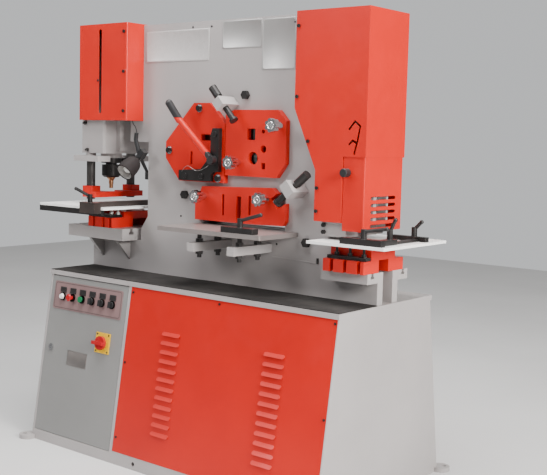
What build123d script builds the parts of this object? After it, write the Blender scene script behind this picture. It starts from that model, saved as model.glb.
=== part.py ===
# Hydraulic ironworker: punch at the left, shear stations in the middle, notcher at the right.
# Millimetres. X runs along the machine to the notcher, the working side faces -Y, Z is up.
# The origin lies on the floor at the middle of the four foot holes.
import os
from math import atan, cos, hypot, sin

from build123d import *

os.makedirs("parts", exist_ok=True)

# Clearances
seat = 0.3                  # between a bolted piece and what it lies on
run = 0.05                  # radial, between a shaft and its bore

# Base cabinet
base_half_length = 786.0
base_half_depth = 429.0     # at the floor
base_slope = 0.1543         # the long faces come in by this much for each mm of height
shell_top = 726.0
base_top = 745.0
rim_half_depth = 321.0
shell_wall = 10.0
corner_radius = 10.0
floor_plate = 6.0
sheet = 3.0
foot_radius = 38.0
foot_thickness = 18.0
foot_hole = 11.0
foot_hole_offset = 18.0
mat_thickness = 2.7

# Panels with louvers
panel_z0, panel_z1 = 51.0, 725.0
panel_thickness = 4.0
panel_gap = 1.0
louver_length = 97.0
louver_height = 15.0
louver_rise = 8.0
louver_pitch = 36.0
louver_count = 12
louver_top = 562.0
louver_places = (0.246, 0.752)  # shares of the panel's length

# Cabinet door and its controls
door_width = 483.0
door_inset = 22.0           # from the end of the base
door_z0, door_z1 = 46.0, 722.0
door_gap = 2.0
door_flange = 20.0
pivot_inset = 18.0
pivot_depth = 6.0
hinge_pin = 4.0
control_drop = 86.0         # below the top of the door
control_columns = (82.0, 146.0, 209.0, 272.0, 336.0, 400.0)  # from the left of the door
stem_radius = 8.0
bezel_top = 9.0
bezel_body = 11.0
switch_reach, switch_z = 369.0, 473.0
lock_reach, lock_z = 44.0, 410.0

# Two side plates with the swing beam between them
plate_inner = 33.2
plate_outer = 69.2
plate_top = 1826.0
plate_inset = 8.0           # from the right end of the base
head_x = -613.0
throat_x = -430.0
jaw_x = -472.0
jaw_top = 883.0
beam_half = 32.0
beam_pivot_x, beam_pivot_z = -330.0, 1560.0
beam_pin = 40.0
nose_top = 1660.0
nose_bottom = 1400.0
rod_x = 600.0
rod_radius = 25.0
notch_x0, notch_x1 = 660.0, 740.0
notch_half = 30.0

# Station windows through the side plates: x0, x1, z0, z1
angle_window = (-200.0, 0.0, 1190.0, 1400.0)
bar_window = (140.0, 290.0, 1215.0, 1400.0)
flat_window = (-100.0, 340.0, 988.0, 1140.0)
window_margin = 5.0
station_plate = 24.7
blade_thickness = 12.0

# Punch end
punch_x = -747.0
ram_radius = 38.0
piston_rod = 20.0
neck_radius = 26.0
nut_radius = 43.0
punch_radius = 9.0
column_radius = 19.5
column_y = 122.0
cover_half = 171.0
cover_x0, cover_x1 = -775.0, -466.0
cover_z0, cover_z1 = 1412.0, plate_top + 4
bolster_thickness = 51.7
punch_table_top = 1035.0
table_thickness = 10.0

# Notch end
hood_half = 133.2
hood_x1 = 749.0
hood_top = plate_top + 3
hood_edge = 1290.0
notch_table_top = 978.0
notch_seat = 830.0
notch_bolster = 38.0

# Shear table and its two arms
shear_table_top = 988.5
shear_table_thickness = 18.0
arm_centres = (47.5, 257.5)
arm_half = 17.5
arm_gap = 37.5              # between the table and its arms

# Lamp
lamp_y = -120.0
lamp_joint = (-430.0, lamp_y, 1256.0)
lamp_barrel = 14.0
lead_radius = 2.0

# Places that follow from the sizes above
door_x0 = -base_half_length + door_inset
door_x1 = door_x0 + door_width
panel_x0, panel_x1 = door_x1 + 19, base_half_length - 8
louver_columns = [panel_x0 + (panel_x1 - panel_x0) * share for share in louver_places]
control_height = door_z1 - control_drop
control_columns = [door_x0 + reach for reach in control_columns]
switch_x, lock_x = door_x0 + switch_reach, door_x0 + lock_reach
plate_x0, plate_x1 = -base_half_length, base_half_length - plate_inset
arm_top = shear_table_top - shear_table_thickness - arm_gap
lean = atan(base_slope)
front_face = Plane(
    origin=(0, -base_half_depth, 0), x_dir=(1, 0, 0), z_dir=(0, -cos(lean), sin(lean))
)
rear_face = Plane(
    origin=(0, base_half_depth, 0), x_dir=(-1, 0, 0), z_dir=(0, cos(lean), sin(lean))
)
body_face = -plate_outer - seat
station_face = body_face - station_plate
low = (Align.CENTER, Align.CENTER, Align.MIN)


def save(name, shape):
    export_step(shape, f"parts/{name}.step")


def group(pieces):
    return Compound(children=pieces)


def box(x0, x1, y0, y1, z0, z1):
    corner = (Align.MIN, Align.MIN, Align.MIN)
    return Pos(x0, y0, z0) * Box(x1 - x0, y1 - y0, z1 - z0, align=corner)


def slab(outline, y0, y1):
    """X-Z outline between two Y planes."""
    plane = Plane(origin=(0, y1, 0), x_dir=(1, 0, 0), z_dir=(0, -1, 0))
    return extrude(plane * make_face(Polyline(*outline, close=True)), amount=y1 - y0)


def span(outline, x0, x1):
    """Y-Z outline between two X planes."""
    plane = Plane(origin=(x0, 0, 0), x_dir=(0, 1, 0), z_dir=(1, 0, 0))
    return extrude(plane * make_face(Polyline(*outline, close=True)), amount=x1 - x0)


def rod(start, end, radius, tip=None):
    """Round bar between two points, tapering to the tip radius if one is given."""
    line = Vector(*end) - Vector(*start)
    if tip is None:
        shape = Cylinder(radius, line.length, align=low)
    else:
        shape = Cone(radius, tip, line.length, align=low)
    return Plane(origin=start, z_dir=line) * shape


def upright(x, y, z0, z1, radius, tip=None):
    return rod((x, y, z0), (x, y, z1), radius, tip)


def across(x, z, y0, y1, radius, tip=None):
    return rod((x, y0, z), (x, y1, z), radius, tip)


def hexagon(x, z, y, height, radius):
    """Nut or bolt head on a plane that faces the working side."""
    plane = Plane(origin=(x, y, z), x_dir=(1, 0, 0), z_dir=(0, -1, 0))
    return extrude(plane * RegularPolygon(radius, 6), amount=height)


def on_face(face, x0, x1, z0, z1, n0, n1):
    """Box on a leaning face, n measured outwards from it."""
    return face * box(x0, x1, z0 / cos(lean), z1 / cos(lean), n0, n1)


def stub(x, z, n0, n1, radius, tip=None):
    """Round boss on the leaning front, n measured outwards from it."""
    height = z / cos(lean)
    return front_face * rod((x, height, n0), (x, height, n1), radius, tip)


def wedge(x0, x1, z0, z1, inset):
    """Block between the two leaning faces, each moved in by the inset."""
    wide = base_half_depth - inset / cos(lean) - base_slope * z0
    narrow = base_half_depth - inset / cos(lean) - base_slope * z1
    return span([(-wide, z0), (wide, z0), (narrow, z1), (-narrow, z1)], x0, x1)


def mirrored(shape):
    return mirror(shape, about=Plane.XZ)


def grown(window, margin):
    return (window[0] - margin, window[1] + margin, window[2] - margin, window[3] + margin)


def through(window, y0, y1):
    return box(window[0], window[1], y0, y1, window[2], window[3])


# Base frame
inner_x = base_half_length - shell_wall
base = wedge(-base_half_length, base_half_length, 0, shell_top, 0)
corners = base.edges().filter_by(lambda edge: abs(edge.length * cos(lean) - shell_top) < 1)
base = fillet(corners, corner_radius)
base -= wedge(-inner_x, inner_x, floor_plate, shell_top, shell_wall)
base -= on_face(
    front_face, door_x0 - door_gap, door_x1 + door_gap,
    door_z0 - door_gap, shell_top, -shell_wall - 1, 1
)
recess = panel_thickness + seat
for face, x0, x1 in ((front_face, panel_x0, panel_x1), (rear_face, -panel_x1, -panel_x0)):
    base -= on_face(
        face, x0 - panel_gap, x1 + panel_gap,
        panel_z0 - panel_gap, shell_top, -recess, 6
    )
    base -= on_face(face, x0 + 35, x1 - 35, panel_z0 + 34, panel_z1 - 35, -shell_wall - 1, 1)
base += box(
    -base_half_length, base_half_length, -rim_half_depth, rim_half_depth, shell_top, base_top
)
partition_x = door_x1 + 7
base += wedge(partition_x - 2, partition_x + 2, floor_plate, shell_top, shell_wall)
lip = -door_flange - sheet
base += on_face(front_face, -inner_x, door_x0 + 10, floor_plate, shell_top, lip - sheet, lip)
base += on_face(
    front_face, -inner_x, door_x1 - 55, shell_top - 18, shell_top + 1, lip - sheet, lip
)
base += on_face(
    front_face, -inner_x, door_x1 - 55, floor_plate - 1, door_z0 + 14, lip - sheet, lip
)
hinge_x = door_x1 - pivot_inset
pin_reach = 12.0
for z0, z1 in (
    (door_z0 - door_gap - 4, door_z0 + pin_reach),
    (door_z1 - pin_reach, door_z1 + door_gap + 4),
):
    base += front_face * rod(
        (hinge_x, z0 / cos(lean), -pivot_depth), (hinge_x, z1 / cos(lean), -pivot_depth), hinge_pin
    )
feet = []
beside = base_half_length + seat
for side_x in (-1, 1):
    for side_y in (-1, 1):
        foot_x = side_x * (base_half_length + foot_hole_offset)
        foot_y = side_y * (base_half_depth + foot_hole_offset)
        pad_x = side_x * (base_half_length + 8)
        pad_y = side_y * (base_half_depth + 8)
        foot = upright(pad_x, pad_y, 0, foot_thickness, foot_radius)
        foot -= upright(foot_x, foot_y, -1, foot_thickness + 1, foot_hole)
        feet.append(foot - wedge(-beside, beside, -1, foot_thickness + 1, -seat))
hole_x = panel_x0 + 128
base -= rod((hole_x, -base_half_depth - 5, 23), (hole_x, -base_half_depth + 15, 23), 9)
save("base_frame", group([base] + feet))


# Louvered panels
def louver():
    """Hood with its mouth downwards, on the X-Y plane, with the cut behind it."""
    half = louver_height / 2
    wall = 1.6
    fall = louver_rise / louver_height
    foot = extrude(SlotOverall(louver_length, louver_height), amount=louver_rise)
    hood = span(
        [(half, 0), (-half, louver_rise), (-half, 0)], -louver_length / 2, louver_length / 2
    ) & foot
    drop = wall * hypot(1, fall)
    inside = louver_length / 2 - half
    high = louver_rise - drop
    end_y = -half + high / fall
    hollow = span([(end_y, 0), (-half, high), (-half - 1, high), (-half - 1, 0)], -inside, inside)
    cut = box(-inside, inside, -half, end_y, -panel_thickness - 1, 0.5)
    return hood - hollow, cut


hood, cut = louver()


def louvered_panel(face, x0, x1, columns):
    panel = box(
        x0, x1, panel_z0 / cos(lean), panel_z1 / cos(lean), -panel_thickness, 0
    )
    places = []
    for column in columns:
        for row in range(louver_count):
            height = (louver_top - row * louver_pitch) / cos(lean)
            places.append(Pos(column, height, 0))
    panel += [place * hood for place in places]
    panel -= [place * cut for place in places]
    return face * panel


save("front_panel", louvered_panel(front_face, panel_x0, panel_x1, louver_columns))
rear_columns = [-column for column in louver_columns]
save("rear_panel", louvered_panel(rear_face, -panel_x1, -panel_x0, rear_columns))

mat_z = base_top + seat
save(
    "rubber_mat",
    box(
        -base_half_length + 2, base_half_length - 2, -rim_half_depth + 3, body_face - 1.8,
        mat_z, mat_z + mat_thickness
    ),
)

# Oil tank with its valve block, and the motor with the pump, behind the louvers
tank_x0 = door_x1 + 41
tank_x1 = tank_x0 + 540
tank_half, tank_top = 200.0, 360.0
tank_z = floor_plate + seat
tank = box(tank_x0, tank_x1, -tank_half, tank_half, tank_z, tank_top)
tank += upright(tank_x0 + 60, -tank_half + 60, tank_top - 1, tank_top + 28, 24)
tank += box(tank_x1 - 75, tank_x1 - 15, 70, 150, tank_top - 1, tank_top + 90)
for row in range(3):
    block_y = 82 + 28 * row
    tank += rod(
        (tank_x1 - 16, block_y, tank_top + 60), (tank_x1 + 34, block_y, tank_top + 60), 10
    )
save("oil_tank", tank)

motor_z = 480.0
motor_radius = 95.0
motor_x0 = tank_x0 + 30
motor_x1 = motor_x0 + 270
motor = rod((motor_x0, 0, motor_z), (motor_x1, 0, motor_z), motor_radius - 8)
for index in range(9):
    fin_x = motor_x0 + 24 + 26 * index
    motor += rod((fin_x, 0, motor_z), (fin_x + 8, 0, motor_z), motor_radius)
foot_base = tank_top + seat
motor += box(motor_x0 + 30, motor_x0 + 80, -90, 90, foot_base, foot_base + 12)
motor += box(motor_x1 - 80, motor_x1 - 30, -90, 90, foot_base, foot_base + 12)
motor += box(motor_x0 + 40, motor_x0 + 70, -45, 45, foot_base, motor_z - 60)
motor += box(motor_x1 - 70, motor_x1 - 40, -45, 45, foot_base, motor_z - 60)
motor += box(motor_x0 + 90, motor_x1 - 90, -40, 40, motor_z + 60, motor_z + motor_radius + 30)
motor += rod((motor_x1 - 1, 0, motor_z), (motor_x1 + 40, 0, motor_z), 62)
motor += rod((motor_x1 + 39, 0, motor_z), (motor_x1 + 130, 0, motor_z), 44)
motor += box(motor_x1 + 60, motor_x1 + 110, -56, 56, motor_z - 20, motor_z + 20)
save("motor_pump", motor)

# Side plates
notch_bolster_z1 = notch_seat + notch_bolster
outline = [
    (plate_x0, base_top + seat), (plate_x1, base_top + seat), (plate_x1, notch_bolster_z1),
    (590, notch_bolster_z1), (590, 1060), (560, 1230), (455, 1470), (455, plate_top),
    (head_x, plate_top), (head_x, 1420), (-545, 1420), (-545, 1321), (throat_x, 1321),
    (throat_x, 994), (jaw_x, 937), (jaw_x, jaw_top), (plate_x0, jaw_top),
]
front_plate = slab(outline, -plate_outer, -plate_inner)
for window in (angle_window, bar_window, flat_window):
    front_plate -= through(window, -plate_outer - 1, -plate_inner + 1)
rear_plate = mirrored(front_plate)
front_plate -= across(beam_pivot_x, beam_pivot_z, -plate_inner - 22, 0, beam_pin + seat)
rear_plate -= across(beam_pivot_x, beam_pivot_z, 0, plate_outer + 1, beam_pin + seat)
arm_reach, arm_depth = -300.0, 34.0
for centre in arm_centres:
    front_plate += box(
        centre - arm_half, centre + arm_half, arm_reach, -plate_outer, arm_top - arm_depth, arm_top
    )
save("front_side_plate", front_plate)
save("rear_side_plate", rear_plate)

pin = across(beam_pivot_x, beam_pivot_z, -plate_inner - 21, plate_outer - 1, beam_pin)
save("pivot_pin", pin)

# Spacers between the plates, and the guide of the notch ram
gap_half = plate_inner - seat
blade_seat = 948.0
blocks = [
    box(plate_x0 + 8, -500, -gap_half, gap_half, base_top + seat, jaw_top - 1),
    box(-498, 560, -gap_half, gap_half, base_top + seat, 880),
    box(561, 640, -gap_half, gap_half, base_top + seat, notch_seat - 2),
    box(throat_x + 4, -396, -gap_half, gap_half, 1000, 1316),
    box(head_x + 4, -440, -gap_half, gap_half, 1430, plate_top - 20),
    box(400, 450, -gap_half, gap_half, 881, 1180),
    box(-110, 350, -gap_half, gap_half, 881, blade_seat),
]
guide_x0 = 590 + seat
guide_z0, guide_z1, guide_top = 990.0, 1044.0, 1230.0
cheek = box(
    notch_x0 - run, notch_x1 - 5, -notch_half - 20, -notch_half - run, guide_z1, guide_top
)
ear = box(545, guide_x0, -105, body_face, guide_z0, guide_z1)
guide = [
    box(guide_x0, notch_x0 - 7, -105, 105, guide_z0, guide_z1),
    box(guide_x0, notch_x0 - run, -notch_half - 20, notch_half + 20, guide_z1, guide_top),
    cheek, mirrored(cheek), ear, mirrored(ear),
]
save("frame_spacers", group(blocks + guide))

# Swing beam with the moving blades
beam_outline = [
    (-380, 1640), (-300, 1720), (480, 1720), (540, nose_top), (660, nose_top), (735, 1560),
    (735, nose_bottom), (640, nose_bottom), (600, 1330), (430, 1330), (360, 1200), (350, 1060),
    (-110, 1060), (-150, 1150), (-300, 1250), (-380, 1420),
]
beam = slab(beam_outline, -beam_half, beam_half)
beam -= across(beam_pivot_x, beam_pivot_z, -beam_half - 1, beam_half + 1, beam_pin + run)
beam_angle = grown(angle_window, window_margin)
beam_bar = grown(bar_window, window_margin)
beam -= through(beam_angle, -beam_half - 1, beam_half + 1)
beam -= through(beam_bar, -beam_half - 1, beam_half + 1)
save("swing_beam", beam)


def bar_holes(y0, y1):
    """Holes for square and round bar."""
    return [
        box(156, 198, y0, y1, 1342, 1387),
        box(231, 251, y0, y1, 1228, 1252),
        across(187, 1269, y0, y1, 26),
        across(240, 1307, y0, y1, 15),
        across(238, 1376, y0, y1, 8),
    ]


def angle_hole(y0, y1):
    """Opening for angle section, corner at the lower left."""
    return slab(
        [(-175, 1212), (-28, 1212), (-28, 1250), (-128, 1250), (-128, 1368), (-175, 1368)], y0, y1
    )


def blade(window, y0, y1, holes):
    return through(grown(window, -seat), y0, y1) - holes


moving_half = blade_thickness / 2
moving = [
    blade(beam_bar, -blade_thickness, 0, bar_holes(-blade_thickness - 1, 1)),
    blade(beam_angle, -blade_thickness, 0, angle_hole(-blade_thickness - 1, 1)),
    slab(
        [(-95, 1060 - seat), (335, 1060 - seat), (335, 1018), (-95, 1006)],
        -blade_thickness * 2, 0
    ),
]
save("upper_blades", group(moving))
fixed_y = -plate_inner - 3
fixed = [
    blade(bar_window, fixed_y - 20, fixed_y, bar_holes(fixed_y - 21, fixed_y + 1)),
    blade(angle_window, fixed_y - 20, fixed_y, angle_hole(fixed_y - 21, fixed_y + 1)),
    box(-95, 335, 1, 1 + blade_thickness * 2, blade_seat + seat, shear_table_top - 2.5),
]
save("lower_blades", group(fixed))

# Shear cylinder, hung from the plates above the nose, and its rod
cylinder_z0, cylinder_z1 = 1702.0, 1792.0
cylinder = upright(rod_x, 0, cylinder_z0, cylinder_z1, 55)
cylinder += box(455 + seat, rod_x + 20, -60, 60, cylinder_z1 - 1, cylinder_z1 + 28)
cylinder += box(455 + seat, 480, -60, 60, 1500, cylinder_z1 + 28)
cylinder -= upright(rod_x, 0, cylinder_z0 - 1, cylinder_z1 - 8, rod_radius + run)
cylinder -= box(454, 481, -plate_inner, plate_inner, 1499, 1740)
save("shear_cylinder", cylinder)
rod_foot = nose_top + seat
push_rod = upright(rod_x, 0, rod_foot + 8, cylinder_z1 - 12, rod_radius)
push_rod += upright(rod_x, 0, rod_foot, rod_foot + 8, 8, rod_radius)
save("shear_rod", push_rod)

# Notch ram, driven by the nose from above
notch_top = nose_bottom - seat
middle_x = (notch_x0 + notch_x1) / 2
notch_ram = box(notch_x0, notch_x1, -notch_half, notch_half, 1022, notch_top - 10)
notch_ram += upright(middle_x, 0, notch_top - 11, notch_top, 24, 8)
notch_ram += slab(
    [(notch_x0 + 6, 1023), (notch_x1 - 6, 1023), (notch_x1 - 6, 1006), (notch_x0 + 6, 1000)],
    -notch_half + 6, notch_half - 6
)
save("notch_ram", notch_ram)

# Punch cylinder, ram and tooling
block_x0, block_x1 = punch_x - 43, punch_x + 112
block_z0, block_z1 = 1265.0, cover_z0 - seat
cap_z0 = 1243.0
ram_top = block_z1 - 12
punch_cylinder = box(block_x0, block_x1, -145, 145, block_z0, block_z1)
punch_cylinder = chamfer(punch_cylinder.edges().filter_by(Axis.Z), 8)
punch_cylinder += box(block_x1 - 1, head_x - seat, -72, 72, block_z0 + 12, block_z1)
punch_cylinder += box(
    cover_x0 + sheet + 1, head_x - seat, -110, 110, block_z1 - 1, plate_top - 36
)
punch_cylinder += upright(punch_x, 0, cap_z0, block_z0 + 1, 49)
carrier_z0, carrier_z1 = 1228.0, 1253.0
for side in (-1, 1):
    y0, y1 = sorted((side * 103, side * 175))
    punch_cylinder += box(punch_x - 58, punch_x + 107, y0, y1, carrier_z0, carrier_z1)
    punch_cylinder += upright(
        punch_x, side * column_y, carrier_z1 - 1, block_z0 + 1, column_radius + 3
    )
    punch_cylinder -= upright(
        punch_x, side * column_y, carrier_z0 - 1, carrier_z1 - 8, column_radius + seat
    )
punch_cylinder -= upright(punch_x, 0, cap_z0 - 1, ram_top + 2, ram_radius + run)
punch_cylinder -= upright(punch_x, 0, ram_top, 1700, piston_rod + run)
save("punch_cylinder", punch_cylinder)
column_foot = 1056.0
columns = []
for side in (-1, 1):
    columns.append(
        upright(
            punch_x, side * column_y, column_foot, carrier_z1 - 8 - seat, column_radius
        )
    )
save("stripper_columns", group(columns))

flange_z0, flange_z1 = 1219.0, cap_z0 - 2
nut_z0, nut_z1 = 1153.0, 1211.0
ram = upright(punch_x, 0, flange_z0, ram_top, ram_radius)
ram += upright(punch_x, 0, ram_top - 1, 1650, piston_rod)
ram += upright(punch_x, 0, flange_z0, flange_z1, 47)
ram += box(punch_x - 20, punch_x + 20, 20, 96, flange_z0, flange_z1)
ram += upright(punch_x, 0, nut_z0 + 17, flange_z0 + 1, neck_radius)
save("punch_ram", ram)
nut = upright(punch_x, 0, nut_z0 + 8, nut_z1, nut_radius)
nut += upright(punch_x, 0, nut_z0, nut_z0 + 9, nut_radius - 8, nut_radius)
nut -= upright(punch_x, 0, nut_z0 + 14, nut_z1 + 1, neck_radius + run)
nut -= upright(punch_x, 0, nut_z0 - 1, nut_z0 + 15, 20 + run)
for turn in range(4):
    nut -= Pos(punch_x, 0, 0) * Rot(0, 0, 45 + 90 * turn) * rod(
        (nut_radius - 8, 0, 1188), (nut_radius + 2, 0, 1188), 4
    )
save("coupling_nut", nut)
tool = upright(punch_x, 0, nut_z0 - 4, nut_z0 + 16, 20)
tool += upright(punch_x, 0, nut_z0 - 15, nut_z0 - 3, punch_radius + 2, 20)
tool += upright(punch_x, 0, nut_z0 - 31, nut_z0 - 14, punch_radius + 2)
tool += upright(punch_x, 0, nut_z0 - 51, nut_z0 - 30, punch_radius)
save("punch_tool", tool)

stripper_z0, stripper_z1 = 1065.0, 1090.0
pad_half, pad_top = 27.0, 1116.0
stripper_end = column_y + pad_half
stripper = box(punch_x - 28, punch_x + 58, -stripper_end, stripper_end, stripper_z0, stripper_z1)
for side in (-1, 1):
    y0, y1 = sorted((side * (column_y - pad_half), side * stripper_end))
    stripper += box(punch_x - 28, punch_x + 36, y0, y1, stripper_z1 - 1, pad_top)
stripper = fillet(stripper.edges().filter_by(Axis.Z), 4)
stripper -= upright(punch_x, 0, stripper_z0 - 1, stripper_z1 + 1, nut_radius + 3)
stripper -= box(
    punch_x - 60, punch_x, -nut_radius - 3, nut_radius + 3, stripper_z0 - 1, stripper_z1 + 1
)
for side in (-1, 1):
    stripper -= upright(
        punch_x, side * column_y, stripper_z0 - 1, pad_top + 1, column_radius + run
    )
save("punch_stripper", stripper)

cover = box(cover_x0, cover_x1, -cover_half, cover_half, cover_z0, cover_z1)
cover = fillet(cover.edges().filter_by(Axis.Z), 6)
cover -= box(
    cover_x0 + sheet, cover_x1 - sheet, -cover_half + sheet, cover_half - sheet,
    cover_z0 - 1, cover_z1 - sheet
)
cover -= box(
    cover_x1 - sheet - 1, cover_x1 + 1, body_face, -body_face, cover_z0 - 1, plate_top + seat
)
slot_x, slot_half = -635.0, 9.5
slot_z0, slot_z1 = cover_z0 + 30, cover_z1 - 23
slot = box(
    slot_x - slot_half, slot_x + slot_half, -cover_half - 1, -cover_half + sheet + 1,
    slot_z0 + slot_half, slot_z1 - slot_half
)
for slot_z in (slot_z0 + slot_half, slot_z1 - slot_half):
    slot += across(slot_x, slot_z, -cover_half - 1, -cover_half + sheet + 1, slot_half)
cover -= slot
gland_x = cover_x1 - 14
cover += box(
    gland_x - 10, cover_x1 - sheet + 1, lamp_y - 10, lamp_y + 10, cover_z0 + 8, cover_z0 + 38
)
save("punch_cover", cover)

# Bolsters with T-slots
bolster_z0 = jaw_top + seat
bolster_z1 = bolster_z0 + bolster_thickness
punch_bolster = box(-862, -500, -155, 155, bolster_z0, bolster_z1)
ribs = []
for rib_x in (-720, -546):
    rib = span(
        [(-150, bolster_z0), (body_face, bolster_z0), (body_face, bolster_z0 - 90)],
        rib_x - 7, rib_x + 7
    )
    ribs += [rib, mirrored(rib)]
notch_blocks = box(572, plate_x1, -138.2, body_face, notch_seat, notch_bolster_z1)
for side in (-1, 1):
    slot_y = side * 101
    punch_bolster -= box(-863, -499, slot_y - 8, slot_y + 8, bolster_z1 - 20, bolster_z1 + 1)
    punch_bolster -= box(-863, -499, slot_y - 14, slot_y + 14, bolster_z1 - 26, bolster_z1 - 14)
notch_blocks -= box(571, plate_x1 + 1, -112, -98, notch_bolster_z1 - 12, notch_bolster_z1 + 1)
notch_blocks -= box(571, plate_x1 + 1, -117, -93, notch_bolster_z1 - 20, notch_bolster_z1 - 11)
save("tool_bolsters", group([punch_bolster, notch_blocks, mirrored(notch_blocks)] + ribs))

# Die holders
holder_z = bolster_z1 + seat
holder_x0, holder_x1 = punch_x - 43, -572.0
tier_top, deck_top = bolster_z1 + 45, bolster_z1 + 71
holder = box(holder_x0, holder_x1, -80, 152, holder_z, tier_top)
holder += box(holder_x1 - 157, holder_x1, -152, -79, holder_z, tier_top)
holder += box(holder_x0, holder_x1, -80, 75, tier_top - 1, deck_top)
holder -= box(holder_x0 - 1, holder_x1 + 1, -25, 72, holder_z - 1, tier_top - 8)
tier_slots = (holder_x1 - 120, holder_x1 - 55, holder_x1 - 13)
for slot_x in tier_slots:
    holder -= box(slot_x - 6, slot_x + 6, -153, -93, holder_z - 1, tier_top + 1)
    holder -= box(slot_x - 6, slot_x + 6, 93, 153, holder_z - 1, tier_top + 1)
die_radius = 30.0
die_seat = deck_top - 22
holder -= upright(punch_x, 0, die_seat, deck_top + 1, die_radius + seat)
holder -= upright(punch_x, 0, tier_top - 20, deck_top + 1, punch_radius + 6)
save("punch_die_holder", holder)
die_top = deck_top + 4
die = upright(punch_x, 0, die_seat + seat, die_top, die_radius)
die -= upright(punch_x, 0, die_seat - 1, die_top + 1, punch_radius + 0.4)
save("punch_die", die)

notch_holder_z = notch_bolster_z1 + seat
notch_tier = notch_bolster_z1 + 47
notch_table_z0 = notch_table_top - table_thickness
notch_deck = notch_table_z0 - seat
notch_holder_x0 = plate_x1 - 180
notch_holder = box(notch_holder_x0, plate_x1, -167, 103, notch_holder_z, notch_tier)
notch_holder += box(notch_holder_x0, plate_x1, -117, 45, notch_tier - 1, notch_deck)
notch_holder -= box(notch_holder_x0 - 1, plate_x1 + 1, -65, 0, notch_holder_z - 1, notch_tier)
notch_slots = (plate_x1 - 142, plate_x1 - 83, plate_x1 - 22)
for slot_x in notch_slots:
    notch_holder -= box(slot_x - 8, slot_x + 8, -168, -121, notch_holder_z - 1, notch_tier + 1)
notch_holder -= box(
    notch_x0 - 4, notch_x1 + 4, -notch_half - 4, notch_half + 4, notch_tier + 14, notch_deck + 1
)
notch_holder -= box(notch_x0 - 4, notch_x1 + 4, -notch_half - 4, 0, notch_tier - 1, notch_deck)
save("notch_die_holder", notch_holder)

# Tables
table_z0 = punch_table_top - table_thickness
punch_table = box(-917, -484, -280, 200, table_z0, punch_table_top)
punch_table = fillet(punch_table.edges().filter_by(Axis.Z), 8)
for leg_x in (holder_x1 - 110, holder_x1 - 25):
    for leg_y in (-60, 55):
        punch_table += upright(leg_x, leg_y, deck_top + seat, table_z0 + 1, 12)
punch_table -= upright(punch_x, 0, table_z0 - 1, punch_table_top + 1, nut_radius + 4)
save("punch_table", punch_table)

notch_table = box(547, 890, -210, 235, notch_table_z0, notch_table_top)
notch_table = fillet(notch_table.edges().filter_by(Axis.Z), 6)
notch_table -= box(
    546, 592, body_face, -body_face, notch_table_z0 - 1, notch_table_top + 1
)
notch_table -= box(636, 764, -60, 60, notch_table_z0 - 1, notch_table_top + 1)
save("notch_table", notch_table)

shear_z0 = shear_table_top - shear_table_thickness
shear_table = box(-134, 406, -306, body_face, shear_z0, shear_table_top)
shear_table = chamfer(shear_table.edges().filter_by(Axis.Z), 4)
save("shear_table", shear_table)

# Station plates
angle_plate = slab(
    [(-138, 1489), (-49, 1489), (36, 1405), (36, 1163), (-217, 1163), (-298, 1256), (-298, 1326)],
    station_face, body_face
)
y0, y1 = station_face - 1, body_face + 1
angle_plate -= box(-94, -28, y0, y1, 1335, 1360)
angle_plate -= box(-154, -142, y0, y1, 1234, 1287)
save("angle_plate", angle_plate)
bar_plate = slab(
    [(40, 1440), (83, 1461), (311, 1461), (352, 1419), (352, 1252), (309, 1196), (40, 1196)],
    station_face, body_face
)
bar_plate -= bar_holes(y0, y1)
save("bar_plate", bar_plate)
flat_plate = slab(
    [(-84, 1145), (290, 1156), (316, 1135), (286, 1114), (318, 1072), (358, 1098), (358, 1026),
     (344, 1009), (155, 1005), (-122, 1005), (-122, 1072)],
    station_face, body_face
)
flat_plate -= box(106, 130, y0, y1, 1000, 1113)
flat_plate -= box(28, 40, y0, y1, 1031, 1117)
flat_plate -= box(170, 182, y0, y1, 1040, 1118)
save("flat_plate", flat_plate)

block_y0 = station_face - seat - 20
angle_block = slab(
    [(-202, 1167), (-21, 1167), (-21, 1194), (-7, 1208), (22, 1208), (22, 1386), (-14, 1386),
     (-23, 1360), (-23, 1276), (-54, 1240), (-76, 1217), (-202, 1209)],
    block_y0, station_face - seat
)
save("angle_block", angle_block)

# Hold-downs
screw_y = -132.0
screw_radius = 12.5


class HoldDown:
    """Screw between a grip and a foot, through a block on the body."""

    def __init__(self, grip, foot, centre_x):
        self.grip = Vector(grip[0], screw_y, grip[1])
        self.foot = Vector(foot[0], screw_y, foot[1])
        self.line = (self.foot - self.grip).normalized()
        share = (centre_x - grip[0]) / (foot[0] - grip[0])
        self.centre = self.grip + (self.foot - self.grip) * share
        self.plane = Plane(origin=self.centre, x_dir=self.line, z_dir=(0, -1, 0))

    def block(self, length, width, back_y):
        """Block from 34 before the screw axis back to a plane, bored for the screw."""
        depth = 34 + back_y - screw_y
        body = self.plane * Pos(0, 0, 34 - depth / 2) * Box(length, width, depth)
        return body - rod(self.grip, self.foot, screw_radius + run)

    def screw(self, grip_radius, grip_length):
        start = self.grip - self.line * (grip_length / 2)
        stop = self.grip + self.line * (grip_length / 2)
        shape = rod(start, stop, grip_radius)
        shape += rod(stop - self.line, self.foot, screw_radius)
        shape += rod(self.foot - self.line, self.foot + self.line * 8, 18)
        return shape


bar_hold = HoldDown((15, 1531), (113, 1422), 57)
flat_hold = HoldDown((466, 1200), (352, 1106), 416)
bar_block = bar_hold.block(42, 42, body_face)
flat_block = flat_hold.block(42, 58, body_face)
save("hold_down_blocks", group([bar_block, flat_block]))
save("bar_screw", bar_hold.screw(17, 50))
save("flat_screw", flat_hold.screw(17, 62))

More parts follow.
